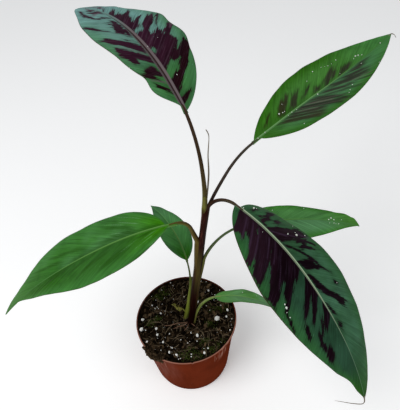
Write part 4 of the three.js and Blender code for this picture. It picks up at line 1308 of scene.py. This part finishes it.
def petiole_mesh(name):
    """The stalk from its sheath's mouth to the blade, channelled on top and run on a little into the midrib.
    Its side vector is carried back from the blade's upper normal, so that the channel meets the midrib's."""
    leaf = LEAVES[name]
    blade = Blade(leaf)
    run = petiole_run(leaf)
    length, radii = leaf["petiole"]["length"], leaf["petiole"]["radius"]
    low = leaf["stub"] / length
    start, end = low * length, length + RIB_OVERLAP
    points = [run.at(lerp(low, 1.0, step / 60)) for step in range(61)]
    if not leaf["stub"]:
        start = -BURIED_FOOT
        buried = [points[0] - run.tangent(0) * (BURIED_FOOT - step) for step in range(BURIED_FOOT)]
        points = buried + points
    _, _, side = blade.frame(0.0)
    for step in range(1, 9):
        share = step / 8
        points.append(blade.run.at(RIB_OVERLAP * share / blade.length) - side * (RIB_SINK * share))
    whole = Run(points)
    rings, sides = 48, 20
    mesh = marked_mesh()
    verts = shaft(mesh, sides, rings)
    for ring in range(rings, -1, -1):
        tangent = whole.tangent(ring / rings)
        side = (side - tangent * side.dot(tangent)).normalized()

    def section(u, angle):
        reached = lerp(start, end, u)
        radius = between(radii, reached / length)
        if reached > length:
            radius *= lerp(1.0, 0.7, (reached - length) / RIB_OVERLAP)
        return grooved(radius, angle, 0.3 * ease(reached, 0.35 * length, 0.8 * length))

    placed = bend_shaft(verts, rings, whole, side, section)
    mark_shaft(mesh, placed, start, end)
    return mesh


# A sheath follows the stem and lets its petiole out: how far its middle stands off the stem's, and how much
# slimmer than the stem it is, over the stretch where it hugs the stem; where that stretch starts; and the
# length over which it lets go.
SHEATHS = {
    "left": {"off": 1.0, "slimmer": 0.35, "from": 74, "release": 42},
    "right": {"off": 1.0, "slimmer": 0.3, "from": 74, "release": 36},
    "top_left": {"off": 0.3, "slimmer": 0.8, "from": 200, "release": 22},
    "top_right": {"off": 0.5, "slimmer": 0.5, "from": 190, "release": 26},
    "front_right": {"off": 0.6, "slimmer": 0.3, "from": 150, "release": 30},
    "small_right": {"off": 0.6, "slimmer": 1.6, "from": 72, "release": 12},
}


def sheath_mesh(name, sides):
    """The lower part of a leaf: hugs the stem, then narrows into the foot of its petiole."""
    leaf = LEAVES[name]
    hold = SHEATHS[name]
    start = Vector(leaf["start"])
    away = start - stem_axis(start.z)
    away.z = 0
    away.normalize()
    petiole = petiole_run(leaf)
    stub = leaf["stub"] + MOUTH
    length, radii = leaf["petiole"]["length"], leaf["petiole"]["radius"]
    steps, rings = 90, 96
    climb = start.z - hold["from"]
    points, radius_at = [], []
    for step in range(steps + 1):
        height = hold["from"] + climb * step / steps
        let_go = ease(height, start.z - hold["release"], start.z)
        near = stem_axis(height) + away * hold["off"] * ease(height, 72, 135)
        far = stem_axis(height) + (start - stem_axis(start.z))
        points.append(near.lerp(far, let_go))
        radius_at.append(lerp(stem_radius(height) - hold["slimmer"], radii[0], let_go))
    extra = max(3, round(stub / (climb / steps)))
    for step in range(1, extra + 1):
        reached = stub * step / extra
        points.append(petiole.at(reached / length))
        shrink = ease(reached, stub - MOUTH, stub)
        radius_at.append(between(radii, reached / length) - 0.35 * shrink)
    mesh = marked_mesh()
    verts = shaft(mesh, sides, rings)
    placed = bend_shaft(verts, rings, Run(points), -away, lambda u, angle: between(radius_at, u))
    mark_shaft(mesh, placed, -climb, stub)
    return mesh


def stem_mesh(sides):
    """The core of the false stem, with a slight rib where its wrapped sheaths end."""
    rings = 80
    top = STEM_FOOT[2] + STEM_RISE - 3
    run = Run([stem_axis(lerp(STEM_FOOT[2], top, ring / rings)) for ring in range(rings + 1)])
    mesh = marked_mesh()
    verts = shaft(mesh, sides, rings)

    def section(u, angle):
        height = lerp(STEM_FOOT[2], top, u)
        seam = 0.22 * math.exp(-(((angle - 0.7 - 1.2 * u) / 0.16) ** 2))
        closing = 1 - 0.45 * ease(u, 0.97, 1.0)
        return (stem_radius(height) + seam) * closing

    placed = bend_shaft(verts, rings, run, Vector((0, -1, 0)), section)
    mark_shaft(mesh, placed, 0.0, STEM_LENGTH)
    return mesh


def thread_mesh(knots, radii, rings=60, sides=8, flat=0.55):
    """A dried thread: a thin flat strand that twists a little along its length."""
    run = spline_run(knots)
    mesh = marked_mesh()
    verts = shaft(mesh, sides, rings)

    def section(u, angle):
        turned = angle + 5 * u
        return between(radii, u) * math.sqrt(math.cos(turned) ** 2 + (flat * math.sin(turned)) ** 2)

    placed = bend_shaft(verts, rings, run, Vector((0, 1, 0.3)), section)
    mark_shaft(mesh, placed, 0.0, 60.0)
    return mesh


# Pot

def wall_radius(height):
    return lerp(BASE_RADIUS, WALL_TOP_RADIUS, height / LIP_BOTTOM)


def flute_rise(angle, height, length):
    """Share of a flute's height at a place on the wall: three rounded ridges in each group."""
    pitch = 360 / FLUTE_GROUPS
    nearest = (angle - FLUTE_FIRST + pitch / 2) % pitch - pitch / 2
    offset = min(abs(nearest - k * FLUTE_SPACING) for k in (-1, 0, 1))
    ridge = 0.5 + 0.5 * math.cos(math.pi * clamp(offset / 1.9))
    low = LIP_BOTTOM - length
    return ridge * ease(height, low, low + 9) * ease(-height, -LIP_BOTTOM + 0.4, -LIP_BOTTOM + 2.5)


def pot_profile(mesh):
    """Half section of the pot as a chain of edges, from the middle of its underside to its inner floor. Each
    corner is (radius, height, rounding)."""
    corners = (
        (0, 0.8, 0), (BASE_RADIUS - 6, 0.8, 0), (BASE_RADIUS - 4.6, 0, 0.3),
        (wall_radius(0) - FOOT_STEP, 0, 0.9), (wall_radius(FOOT_HEIGHT) - FOOT_STEP, FOOT_HEIGHT, 0.25),
        (wall_radius(FOOT_HEIGHT + 0.5), FOOT_HEIGHT + 0.5, 0.3), (WALL_TOP_RADIUS, LIP_BOTTOM, 0.5),
        (RIM_RADIUS, LIP_BOTTOM + 0.2, 0.7), (RIM_RADIUS, POT_HEIGHT, 0.5),
        (INNER_RIM_RADIUS, POT_HEIGHT, 0.5), (INNER_RIM_RADIUS, LEDGE, 0.3),
        (WALL_TOP_RADIUS - POT_WALL, LEDGE - 0.4, 0.3), (BASE_RADIUS - POT_WALL - 0.6, POT_FLOOR, 0.8),
        (0, POT_FLOOR, 0),
    )
    edges = section_chain(mesh, [corner[:2] for corner in corners])
    outer_wall, inner_wall, lip = edges[5], edges[11], edges[7]
    for edge, cuts in ((outer_wall, 40), (inner_wall, 26), (lip, 2)):
        bmesh.ops.subdivide_edges(mesh, edges=[edge], cuts=cuts)
    for radius, height, soft in corners:
        if soft:
            corner = min(mesh.verts, key=lambda vert: math.hypot(vert.co.x - radius, vert.co.z - height))
            bmesh.ops.bevel(mesh, geom=[corner], offset=soft, offset_type="OFFSET", segments=4, profile=0.5,
                            affect="VERTICES", material=-1)


def pot_mesh(settings):
    """The pot with its flutes, the small nub on its front and the notch in its lip. Its 'edge' layer says
    where a highlight is painted: on the lip, the crests of the flutes, the foot's step and the nub."""
    mesh = bmesh.new()
    pot_profile(mesh)
    turn_section(mesh, settings.steps)
    edge = mesh.verts.layers.float.new("edge")
    flute_height = settings.flute_height / MM
    flute_length = settings.flute_length / MM
    for vert in mesh.verts:
        radius = math.hypot(vert.co.x, vert.co.y)
        if radius < BASE_RADIUS - POT_WALL - 2:
            continue
        angle = math.degrees(math.atan2(vert.co.y, vert.co.x))
        height = vert.co.z
        rise = flute_rise(angle, height, flute_length)
        out = flute_height * rise
        unevenness = noise.noise(Vector((vert.co.x * 0.05, vert.co.y * 0.05, height * 0.04)))
        out += 0.12 * unevenness * ease(height, 5, 20)
        nub = 0.0
        if radius > wall_radius(height) - 0.5:
            nub = 1 - ease(math.hypot((angle - NUB_ANGLE) * 0.75, height - NUB_HEIGHT), 0.0, 1.6)
            out += 0.9 * nub
        notch = 1 - ease(abs(angle - NOTCH_ANGLE), 0.4, 1.3)
        notch *= ease(height, POT_HEIGHT - 2.4, POT_HEIGHT - 0.4)
        vert.co.x *= (radius + out) / radius
        vert.co.y *= (radius + out) / radius
        vert.co.z -= 1.6 * notch
        lip = ease(height, POT_HEIGHT - 1.3, POT_HEIGHT - 0.2)
        step = 0.75 * (ease(height, 5.0, 5.8) - ease(height, 5.9, 6.8))
        vert[edge] = max(lip, 0.85 * rise ** 5, step, nub)
    return mesh


def drill_base(piece):
    """Cuts the ring of round drain holes through the pot's base."""
    cutters = bmesh.new()
    for hole in range(DRAIN_HOLES):
        x, y = on_circle(DRAIN_CIRCLE * MM, 2 * math.pi * hole / DRAIN_HOLES)
        bmesh.ops.create_cone(cutters, cap_ends=True, segments=40, radius1=DRAIN_RADIUS * MM,
                              radius2=DRAIN_RADIUS * MM, depth=8 * MM, matrix=Matrix.Translation((x, y, 0)))
    cutter = in_scene("drain cutters", as_data("drain cutters", cutters))
    cut = piece.modifiers.new("drain", "BOOLEAN")
    cut.operation = "DIFFERENCE"
    cut.solver = "EXACT"
    cut.object = cutter
    bpy.context.view_layer.update()
    evaluated = piece.evaluated_get(bpy.context.evaluated_depsgraph_get())
    result = bpy.data.meshes.new_from_object(evaluated)
    piece.modifiers.remove(cut)
    piece.data = result
    bpy.data.objects.remove(cutter)


# Soil

def soil_height(x, y):
    """Height of the soil at a place: low lumps, a heap round the stem and a bank that rises to the rim."""
    lumps = (0.9 * math.sin(0.21 * x + 1.3) * math.cos(0.17 * y - 0.4) + 0.7 * math.sin(0.47 * x - 0.31 * y)
             + 0.5 * math.cos(0.63 * y + 0.4 * x + 2))
    heap = 1.6 * math.exp(-((x - 5) ** 2 + (y + 3) ** 2) / 260)
    out = clamp(math.hypot(x, y) / (INNER_RIM_RADIUS - SOIL_GAP)) ** 4
    return lerp(SOIL_LEVEL + lumps + heap, SOIL_EDGE, out)


def clump_frame():
    angle = math.radians(CLUMP["angle"])
    middle = (*on_circle(CLUMP["circle"], angle), CLUMP["height"])
    return Matrix.Translation(middle) @ Matrix.Rotation(angle, 4, "Z")


def soil_mesh():
    """The bed of peat with its rough top, and the clump that has spilled over the rim."""
    edge_radius = INNER_RIM_RADIUS - SOIL_GAP
    low_radius = BASE_RADIUS - POT_WALL - 1.2
    top_rings = 46
    section = [(0, POT_FLOOR + SOIL_GAP), (low_radius, POT_FLOOR + SOIL_GAP),
               (WALL_TOP_RADIUS - POT_WALL - 0.6, LEDGE - 0.5), (edge_radius, LEDGE + 2 * SOIL_GAP)]
    section += [(edge_radius * (1 - ring / top_rings), SOIL_EDGE) for ring in range(top_rings + 1)]
    mesh = bmesh.new()
    section_chain(mesh, section)
    turn_section(mesh, 150)
    tone = tone_layer(mesh)
    for vert in mesh.verts:
        if vert.co.z < SOIL_EDGE - 0.1:
            continue
        x, y = vert.co.x, vert.co.y
        rough = 1.5 * noise.noise(Vector((x * 0.16, y * 0.16, 1)))
        rough += 1.1 * noise.noise(Vector((x * 0.5, y * 0.5, 4)))
        rough += 0.6 * noise.noise(Vector((x * 1.3, y * 1.3, 9)))
        vert.co.z = soil_height(x, y) + rough * (1 - ease(math.hypot(x, y), edge_radius - 4, edge_radius))
        vert[tone] = clamp(0.4 * noise.noise(Vector((x * 0.3, y * 0.3, 20))))
    clump = bmesh.ops.create_icosphere(mesh, subdivisions=5, radius=1)["verts"]
    place = clump_frame()
    for vert in clump:
        spot = vert.co * 2.1
        rough = 1 + 0.3 * noise.noise(spot) + 0.16 * noise.noise(spot * 2.7) + 0.1 * noise.noise(spot * 6)
        vert[tone] = clamp(0.45 + 0.8 * noise.noise(spot * 3))
        vert.co = place @ Vector((vert.co.x * CLUMP["across"] * rough, vert.co.y * CLUMP["along"] * rough,
                                  vert.co.z * CLUMP["up"] * rough))
    return mesh


def lump_template(name, subdivisions, draw, jag):
    """Small angular lump, about 1 across."""
    mesh = bmesh.new()
    bmesh.ops.create_icosphere(mesh, subdivisions=subdivisions, radius=0.5)
    for vert in mesh.verts:
        vert.co *= 1 + jag * (draw.random() - 0.5)
    return as_data(name, mesh)


def chip_template():
    """Flat chip of bark, about 1 long, with broken corners."""
    mesh = bmesh.new()
    bmesh.ops.create_cube(mesh, size=1, matrix=Matrix.Diagonal((1, 0.5, 0.22, 1)))
    bmesh.ops.bevel(mesh, geom=mesh.edges[:], offset=0.06, segments=1, profile=0.5, affect="EDGES",
                    material=-1)
    for vert in mesh.verts:
        vert.co += 0.12 * noise.noise_vector(vert.co * 2.3)
    return as_data("bark chip", mesh)


def moss_template():
    """Pointed moss leaf with three sides, 1 long."""
    mesh = bmesh.new()
    bmesh.ops.create_cone(mesh, cap_ends=True, segments=3, radius1=0.22, radius2=0.02, depth=1,
                          matrix=Matrix.Translation((0, 0, 0.5)))
    return as_data("moss leaf", mesh)


def random_spot(draw, reach):
    radius = reach * math.sqrt(draw.random())
    return on_circle(radius, 2 * math.pi * draw.random())


def surface_height(x, y):
    """Height of what lies on top: the soil, or the clump over the rim."""
    height = soil_height(x, y)
    local = clump_frame().inverted() @ Vector((x, y, CLUMP["height"]))
    inside = 1 - (local.x / CLUMP["across"]) ** 2 - (local.y / CLUMP["along"]) ** 2
    if inside > 0:
        height = max(height, CLUMP["height"] + CLUMP["up"] * math.sqrt(inside))
    return height


def clump_spot(draw):
    """Random place on the clump."""
    angle = 2 * math.pi * draw.random()
    x, y = on_circle(math.sqrt(draw.random()) * 0.96, angle)
    spot = clump_frame() @ Vector((CLUMP["across"] * x, CLUMP["along"] * y, 0))
    return spot.x, spot.y


def scatter(mesh, template, spots, draw, sizes, rise, squash=(0.7, 1.0), tones=(0.0, 1.0)):
    """Lays copies of a template on the soil, each with its own size, turn and tone. Rise is how far a lump's
    middle stands above the surface, as a share of its size."""
    tone = tone_layer(mesh)
    for x, y in spots:
        size = lerp(sizes[0], sizes[1], draw.random() ** 2.2)
        turn = Euler((draw.uniform(-0.6, 0.6), draw.uniform(-0.6, 0.6), draw.uniform(0, 2 * math.pi)))
        flat = Matrix.Diagonal((size, size * draw.uniform(0.7, 1.0), size * draw.uniform(*squash), 1))
        place = Matrix.Translation((x, y, surface_height(x, y) + rise * size))
        place = place @ turn.to_matrix().to_4x4() @ flat
        lump_tone = lerp(*tones, draw.random() ** 2.8)
        for vert in stamp(mesh, template, place):
            vert[tone] = lump_tone


def fibre(mesh, knots, radius, tone_value, sides=4, rings=7):
    """One thin curved fibre through listed or drawn points."""
    tone = tone_layer(mesh)
    verts = shaft(mesh, sides, rings)
    bend_shaft(verts, rings, spline_run(knots, 24), Vector((0.1, 0.2, 1)),
               lambda u, angle: radius * (1 - 0.6 * abs(2 * u - 1) ** 3))
    for vert in verts:
        vert[tone] = tone_value


def drawn_fibre(x, y, length, heading, draw):
    """Points of a fibre that lies on the soil and lifts off it a little between its ends."""
    knots = []
    bend = draw.uniform(-0.7, 0.7)
    lift = draw.uniform(0.2, 1.5)
    for step in range(5):
        u = step / 4
        turn = heading + bend * (u - 0.5)
        px = x + length * (u - 0.5) * math.cos(turn)
        py = y + length * (u - 0.5) * math.sin(turn)
        reach = math.hypot(px, py)
        if reach > INNER_RIM_RADIUS - 1:
            px *= (INNER_RIM_RADIUS - 1) / reach
            py *= (INNER_RIM_RADIUS - 1) / reach
        knots.append((px, py, surface_height(px, py) + 0.5 + lift * math.sin(math.pi * u)))
    return knots


def mix_piece(name, mesh, finish, replaced=(), smooth=True):
    return mesh_piece(name, mesh, finish, replaced, smooth)


def bed_piece(settings, draw):
    """Bed of peat with crumbs all over it and on the clump."""
    bed = soil_mesh()
    crumb = lump_template("peat crumb", 1, draw, 0.5)
    spots = [random_spot(draw, MIX_REACH) for _ in range(settings.crumbs)]
    spots += [clump_spot(draw) for _ in range(settings.crumbs // 7)]
    scatter(bed, crumb, spots, draw, (0.7, 3.6), 0.12, tones=(0.0, 0.8))
    finish = mix_finish("moist peat", tuple(settings.peat), tuple(settings.bark), 0.88)
    mix_piece("soil_bed", bed, finish, ("soil",), smooth=False)


def bark_piece(settings, draw):
    """Bark chips and the upright stick at the front."""
    chips = bmesh.new()
    spots = [random_spot(draw, MIX_REACH - 2) for _ in range(settings.chips)]
    scatter(chips, chip_template(), spots, draw, (2.5, 8.0), 0.08, (0.7, 1.3))
    fibre(chips, STICK, 1.1, 1.0, 8, 8)
    bark = tuple(settings.bark)
    mix_piece("soil_bark", chips, mix_finish("bark", shade(bark, 0.5), shade(bark, 1.7), 0.7))


def lay_grains(mesh, template, spots, draw):
    """Lays turned grains at (place, size, height and depth as shares of the size)."""
    tone = tone_layer(mesh)
    for spot, size, deep, high in spots:
        place = Matrix.Translation(spot) @ random_turn(draw)
        for vert in stamp(mesh, template, place @ Matrix.Diagonal((size, deep * size, high * size, 1))):
            vert[tone] = 1.0


def perlite_piece(settings, draw):
    """The larger perlite grains, placed one by one, and fine ones between them."""
    grains = bmesh.new()
    template = lump_template("perlite grain", 1, draw, 0.7)
    placed = [((x, y, surface_height(x, y) + 0.35 * size), size, 0.85, 0.75) for x, y, size in PERLITE]
    lay_grains(grains, template, placed, draw)
    spots = [random_spot(draw, MIX_REACH) for _ in range(settings.grains)]
    scatter(grains, lump_template("perlite dust", 1, draw, 0.4), spots, draw, (0.5, 1.6), 0.5)
    mix_piece("soil_perlite", grains, perlite_finish("perlite", tuple(settings.perlite)), smooth=False)


def fibres_piece(settings, draw):
    strands = bmesh.new()
    for _ in range(settings.fibres):
        x, y = random_spot(draw, MIX_REACH - 2)
        knots = drawn_fibre(x, y, draw.uniform(3.5, 13), draw.uniform(0, math.pi), draw)
        fibre(strands, knots, draw.uniform(0.12, 0.3), draw.random() ** 2.4)
    straw = tuple(settings.straw)
    mix_piece("soil_fibres", strands, mix_finish("fibres", shade(straw, 0.35), straw, 0.85))


def roots_piece(draw):
    """The long root that lies to the left of the stem, and short ones round its foot."""
    roots = bmesh.new()
    fibre(roots, LONG_ROOT, 0.35, 0.9, 6, 20)
    for start, end in SHORT_ROOTS:
        middle = tuple((a + b) / 2 + draw.uniform(-1, 1) for a, b in zip(start, end))
        fibre(roots, (start, middle, end), 0.45, draw.uniform(0.3, 0.9), 6, 12)
    mix_piece("stem_roots", roots, mix_finish("roots", paint(84, 60, 48), paint(146, 114, 94), 0.8))


def scrap_piece(draw):
    """Dry yellow scrap of stalk behind the stem: a bundle of short fibres."""
    scrap = bmesh.new()
    for k in range(SCRAP_FIBRES):
        share = k / (SCRAP_FIBRES - 1)
        x = lerp(SCRAP_FROM[0], SCRAP_TO[0], share) + draw.uniform(-2, 2)
        y = lerp(SCRAP_FROM[1], SCRAP_TO[1], share) + draw.uniform(-2.5, 2.5)
        knots = drawn_fibre(x, y, draw.uniform(4, 8), draw.uniform(-1.4, -0.3), draw)
        fibre(scrap, knots, draw.uniform(0.3, 0.55), draw.random())
    yellow = paint(170, 166, 84)
    mix_piece("dry_scrap", scrap, mix_finish("dry scrap", shade(yellow, 0.45), yellow, 0.8))


def moss_piece(settings, draw):
    moss = bmesh.new()
    leaf = moss_template()
    tone = tone_layer(moss)
    for _ in range(settings.moss):
        middle_x, middle_y, spread = MOSS_PATCHES[draw.randrange(len(MOSS_PATCHES))]
        x, y = middle_x + draw.gauss(0, spread / 2), middle_y + draw.gauss(0, spread / 3)
        if math.hypot(x, y) > MIX_REACH:
            continue
        turn = Euler((draw.gauss(0, 0.8), draw.gauss(0, 0.8), draw.uniform(0, 6))).to_matrix().to_4x4()
        size = draw.uniform(1.2, 2.8)
        place = Matrix.Translation((x, y, surface_height(x, y) - 0.1)) @ turn @ Matrix.Scale(size, 4)
        leaf_tone = draw.random()
        for vert in stamp(moss, leaf, place):
            vert[tone] = leaf_tone
    green = tuple(settings.moss_green)
    mix_piece("soil_moss", moss, mix_finish("moss", shade(green, 0.35), shade(green, 1.15), 0.8))


class BananaPot(bpy.types.Operator):
    """Thin nursery pot with a rolled lip, groups of stacking flutes, a stepped foot and drain holes"""

    bl_idname = "mesh.banana_pot"
    bl_label = "Nursery Pot"

    def execute(self, context):
        settings = context.scene.banana_pot
        piece = mesh_piece("pot_shell", pot_mesh(settings), pot_finish(settings), ("pot",))
        drill_base(piece)
        return {"FINISHED"}


class BananaSoil(bpy.types.Operator):
    """Bed of moist peat with crumbs and bark, perlite, fibres, roots and moss on it"""

    bl_idname = "mesh.banana_soil"
    bl_label = "Potting Mix"

    def execute(self, context):
        settings = context.scene.banana_soil
        draw = random.Random(settings.seed)
        noise.seed_set(settings.seed)
        bed_piece(settings, draw)
        bark_piece(settings, draw)
        perlite_piece(settings, draw)
        fibres_piece(settings, draw)
        roots_piece(draw)
        scrap_piece(draw)
        moss_piece(settings, draw)
        return {"FINISHED"}


class BananaStem(bpy.types.Operator):
    """False stem of wrapped sheaths, each of which lets a petiole out"""

    bl_idname = "mesh.banana_stem"
    bl_label = "False Stem"

    def execute(self, context):
        settings = context.scene.banana_stem
        mesh_piece("stem_core", stem_mesh(settings.sides), stem_finish(settings), ("pseudostem",))
        for name in SHEATHS:
            stops, groove = stalk_colours(name)
            low = SHEATHS[name]["from"] - LEAVES[name]["start"][2]
            foot = tuple(settings.dark)
            stops = [(low, foot), (lerp(low, stops[0][0], 0.35), foot), *stops]
            finish = stalk_finish(f"sheath {name}", sorted(stops, key=lambda stop: stop[0]), groove)
            mesh_piece(f"sheath_{name}", sheath_mesh(name, settings.sides), finish)
        return {"FINISHED"}


class BananaPetioles(bpy.types.Operator):
    """Channelled stalks from the stem to the blades"""

    bl_idname = "mesh.banana_petioles"
    bl_label = "Petioles"

    def execute(self, context):
        for name in LEAVES:
            finish = stalk_finish(name, *stalk_colours(name))
            mesh_piece(f"stalk_{name}", petiole_mesh(name), finish, (f"petiole_{name}",))
        return {"FINISHED"}


class BananaBlades(bpy.types.Operator):
    """Leaf blades with midrib, side veins, waved margins and dark streaks"""

    bl_idname = "mesh.banana_blades"
    bl_label = "Leaf Blades"

    def execute(self, context):
        settings = context.scene.banana_blades
        for name, leaf in LEAVES.items():
            finish = blade_finish(name, tuple(settings.margin_line), vein_gap(leaf, settings))
            mesh_piece(f"leaf_{name}", blade_mesh(name, settings), finish, (f"blade_{name}",))
        return {"FINISHED"}


class BananaThreads(bpy.types.Operator):
    """Dried threads: the old shoot beside the top leaf and the curled leaf tips"""

    bl_idname = "mesh.banana_threads"
    bl_label = "Dried Threads"

    def execute(self, context):
        finish = dried_finish(tuple(context.scene.banana_blades.dried))
        mesh_piece("old_shoot", thread_mesh(THREAD_ROUTE, (0.9, 0.65, 0.5, 0.35)), finish,
                   ("dried_thread",))
        for name, leaf in LEAVES.items():
            if "tip_thread" not in leaf:
                continue
            blade = Blade(leaf)
            tip = blade.run.at(1.0)
            inside = blade.run.at(1 - 4 / blade.length)
            knots = [inside] + [tip + Vector(step) for step in leaf["tip_thread"]]
            thread = thread_mesh(knots, (0.7, 0.5, 0.35, 0.2), 10 * len(knots))
            mesh_piece(f"tip_thread_{name}", thread, finish)
        return {"FINISHED"}


class BananaGrit(bpy.types.Operator):
    """Grains of perlite grit that lie on the blades"""

    bl_idname = "mesh.banana_grit"
    bl_label = "Leaf Grit"

    def execute(self, context):
        draw = random.Random(5)
        grain = lump_template("grit grain", 2, draw, 0.3)
        finish = perlite_finish("leaf grit", tuple(context.scene.banana_blades.grit))
        for name, grains in GRIT.items():
            blade = Blade(LEAVES[name])
            placed = []
            for along, left, size in grains:
                u = along / blade.length
                aside = left - blade.shift(u)
                spot = blade.point(u, 1 if aside >= 0 else -1, abs(aside), 0.5 + 0.1 * size)
                placed.append((spot, size, 0.8, 0.7))
            mesh = bmesh.new()
            lay_grains(mesh, grain, placed, draw)
            mix_piece(f"grit_{name}", mesh, finish)
        return {"FINISHED"}


# Stage, in metres
FLOOR_REACH = 4.0
SKY_COLOUR = (0.96, 0.98, 1.0, 1.0)
KEY_PLACE, KEY_SIZE = (-0.55, -0.45, 1.25), 0.9
FILL_PLACE, FILL_SIZE = (0.7, -0.9, 0.9), 0.8
LIGHTS_AIM = (0.03, 0.0, 0.16)


class BananaStage(bpy.types.Operator):
    """Pale floor, soft lights and the camera at the photograph's angle"""

    bl_idname = "scene.banana_stage"
    bl_label = "Studio Stage"

    def area_light(self, name, place, size, power):
        data = bpy.data.lights.new(name, "AREA")
        data.shape = "DISK"
        data.size = size
        data.energy = power
        light = in_scene(name, data)
        light.location = place
        light.rotation_euler = (Vector(LIGHTS_AIM) - Vector(place)).to_track_quat("-Z", "Y").to_euler()

    def execute(self, context):
        settings = context.scene.banana_stage
        scene = context.scene
        scene.view_settings.view_transform = "Standard"

        mesh = bmesh.new()
        bmesh.ops.create_grid(mesh, x_segments=8, y_segments=8, size=FLOOR_REACH)
        floor = in_scene("floor", as_data("floor", mesh))
        floor.data.materials.append(floor_finish(tuple(settings.floor), settings.floor_glow))

        world = bpy.data.worlds.new("studio")
        world.use_nodes = True
        backdrop = world.node_tree.nodes["Background"]
        backdrop.inputs["Color"].default_value = SKY_COLOUR
        backdrop.inputs["Strength"].default_value = settings.sky
        scene.world = world
        self.area_light("key", KEY_PLACE, KEY_SIZE, settings.key_power)
        self.area_light("fill", FILL_PLACE, FILL_SIZE, settings.fill_power)

        camera_data = bpy.data.cameras.new("camera")
        camera_data.lens = settings.lens
        camera_data.sensor_width = 36.0
        camera_data.clip_start = 0.01
        camera = in_scene("camera", camera_data)
        dip, roll = settings.camera_dip, settings.camera_roll
        ahead = Vector((0, math.cos(dip), -math.sin(dip)))
        level = Vector((1, 0, 0))
        rise = level.cross(ahead)
        right = level * math.cos(roll) + rise * math.sin(roll)
        up = rise * math.cos(roll) - level * math.sin(roll)
        turn = Matrix((right, up, -ahead)).transposed().to_4x4()
        camera.matrix_world = Matrix.Translation(settings.camera_place) @ turn
        scene.camera = camera
        return {"FINISHED"}


OPERATORS = (
    BananaStage, BananaPot, BananaSoil, BananaStem, BananaPetioles, BananaBlades, BananaThreads, BananaGrit,
)


class BananaPanel(bpy.types.Panel):
    """Settings of the plant and a button for each of its pieces"""

    bl_idname = "VIEW3D_PT_banana"
    bl_label = "Blood Banana"
    bl_space_type = "VIEW_3D"
    bl_region_type = "UI"
    bl_category = "Banana"

    def draw(self, context):
        layout = self.layout
        for setting in SETTINGS:
            group = getattr(context.scene, setting)
            box = layout.box()
            box.label(text=setting.replace("banana_", "").title())
            for field in group.bl_rna.properties:
                if field.identifier not in ("rna_type", "name"):
                    box.prop(group, field.identifier)
        for operator in OPERATORS:
            layout.operator(operator.bl_idname)


def register():
    for group in SETTINGS.values():
        bpy.utils.register_class(group)
    for operator in OPERATORS:
        bpy.utils.register_class(operator)
    bpy.utils.register_class(BananaPanel)
    for setting, group in SETTINGS.items():
        setattr(bpy.types.Scene, setting, PointerProperty(type=group))


def unregister():
    for setting in SETTINGS:
        delattr(bpy.types.Scene, setting)
    bpy.utils.unregister_class(BananaPanel)
    for operator in reversed(OPERATORS):
        bpy.utils.unregister_class(operator)
    for group in reversed(list(SETTINGS.values())):
        bpy.utils.unregister_class(group)


def main():
    register()
    bpy.ops.scene.banana_stage()
    bpy.ops.mesh.banana_pot()
    bpy.ops.mesh.banana_soil()
    bpy.ops.mesh.banana_stem()
    bpy.ops.mesh.banana_petioles()
    bpy.ops.mesh.banana_blades()
    bpy.ops.mesh.banana_threads()
    bpy.ops.mesh.banana_grit()


if __name__ == "__main__":
    main()
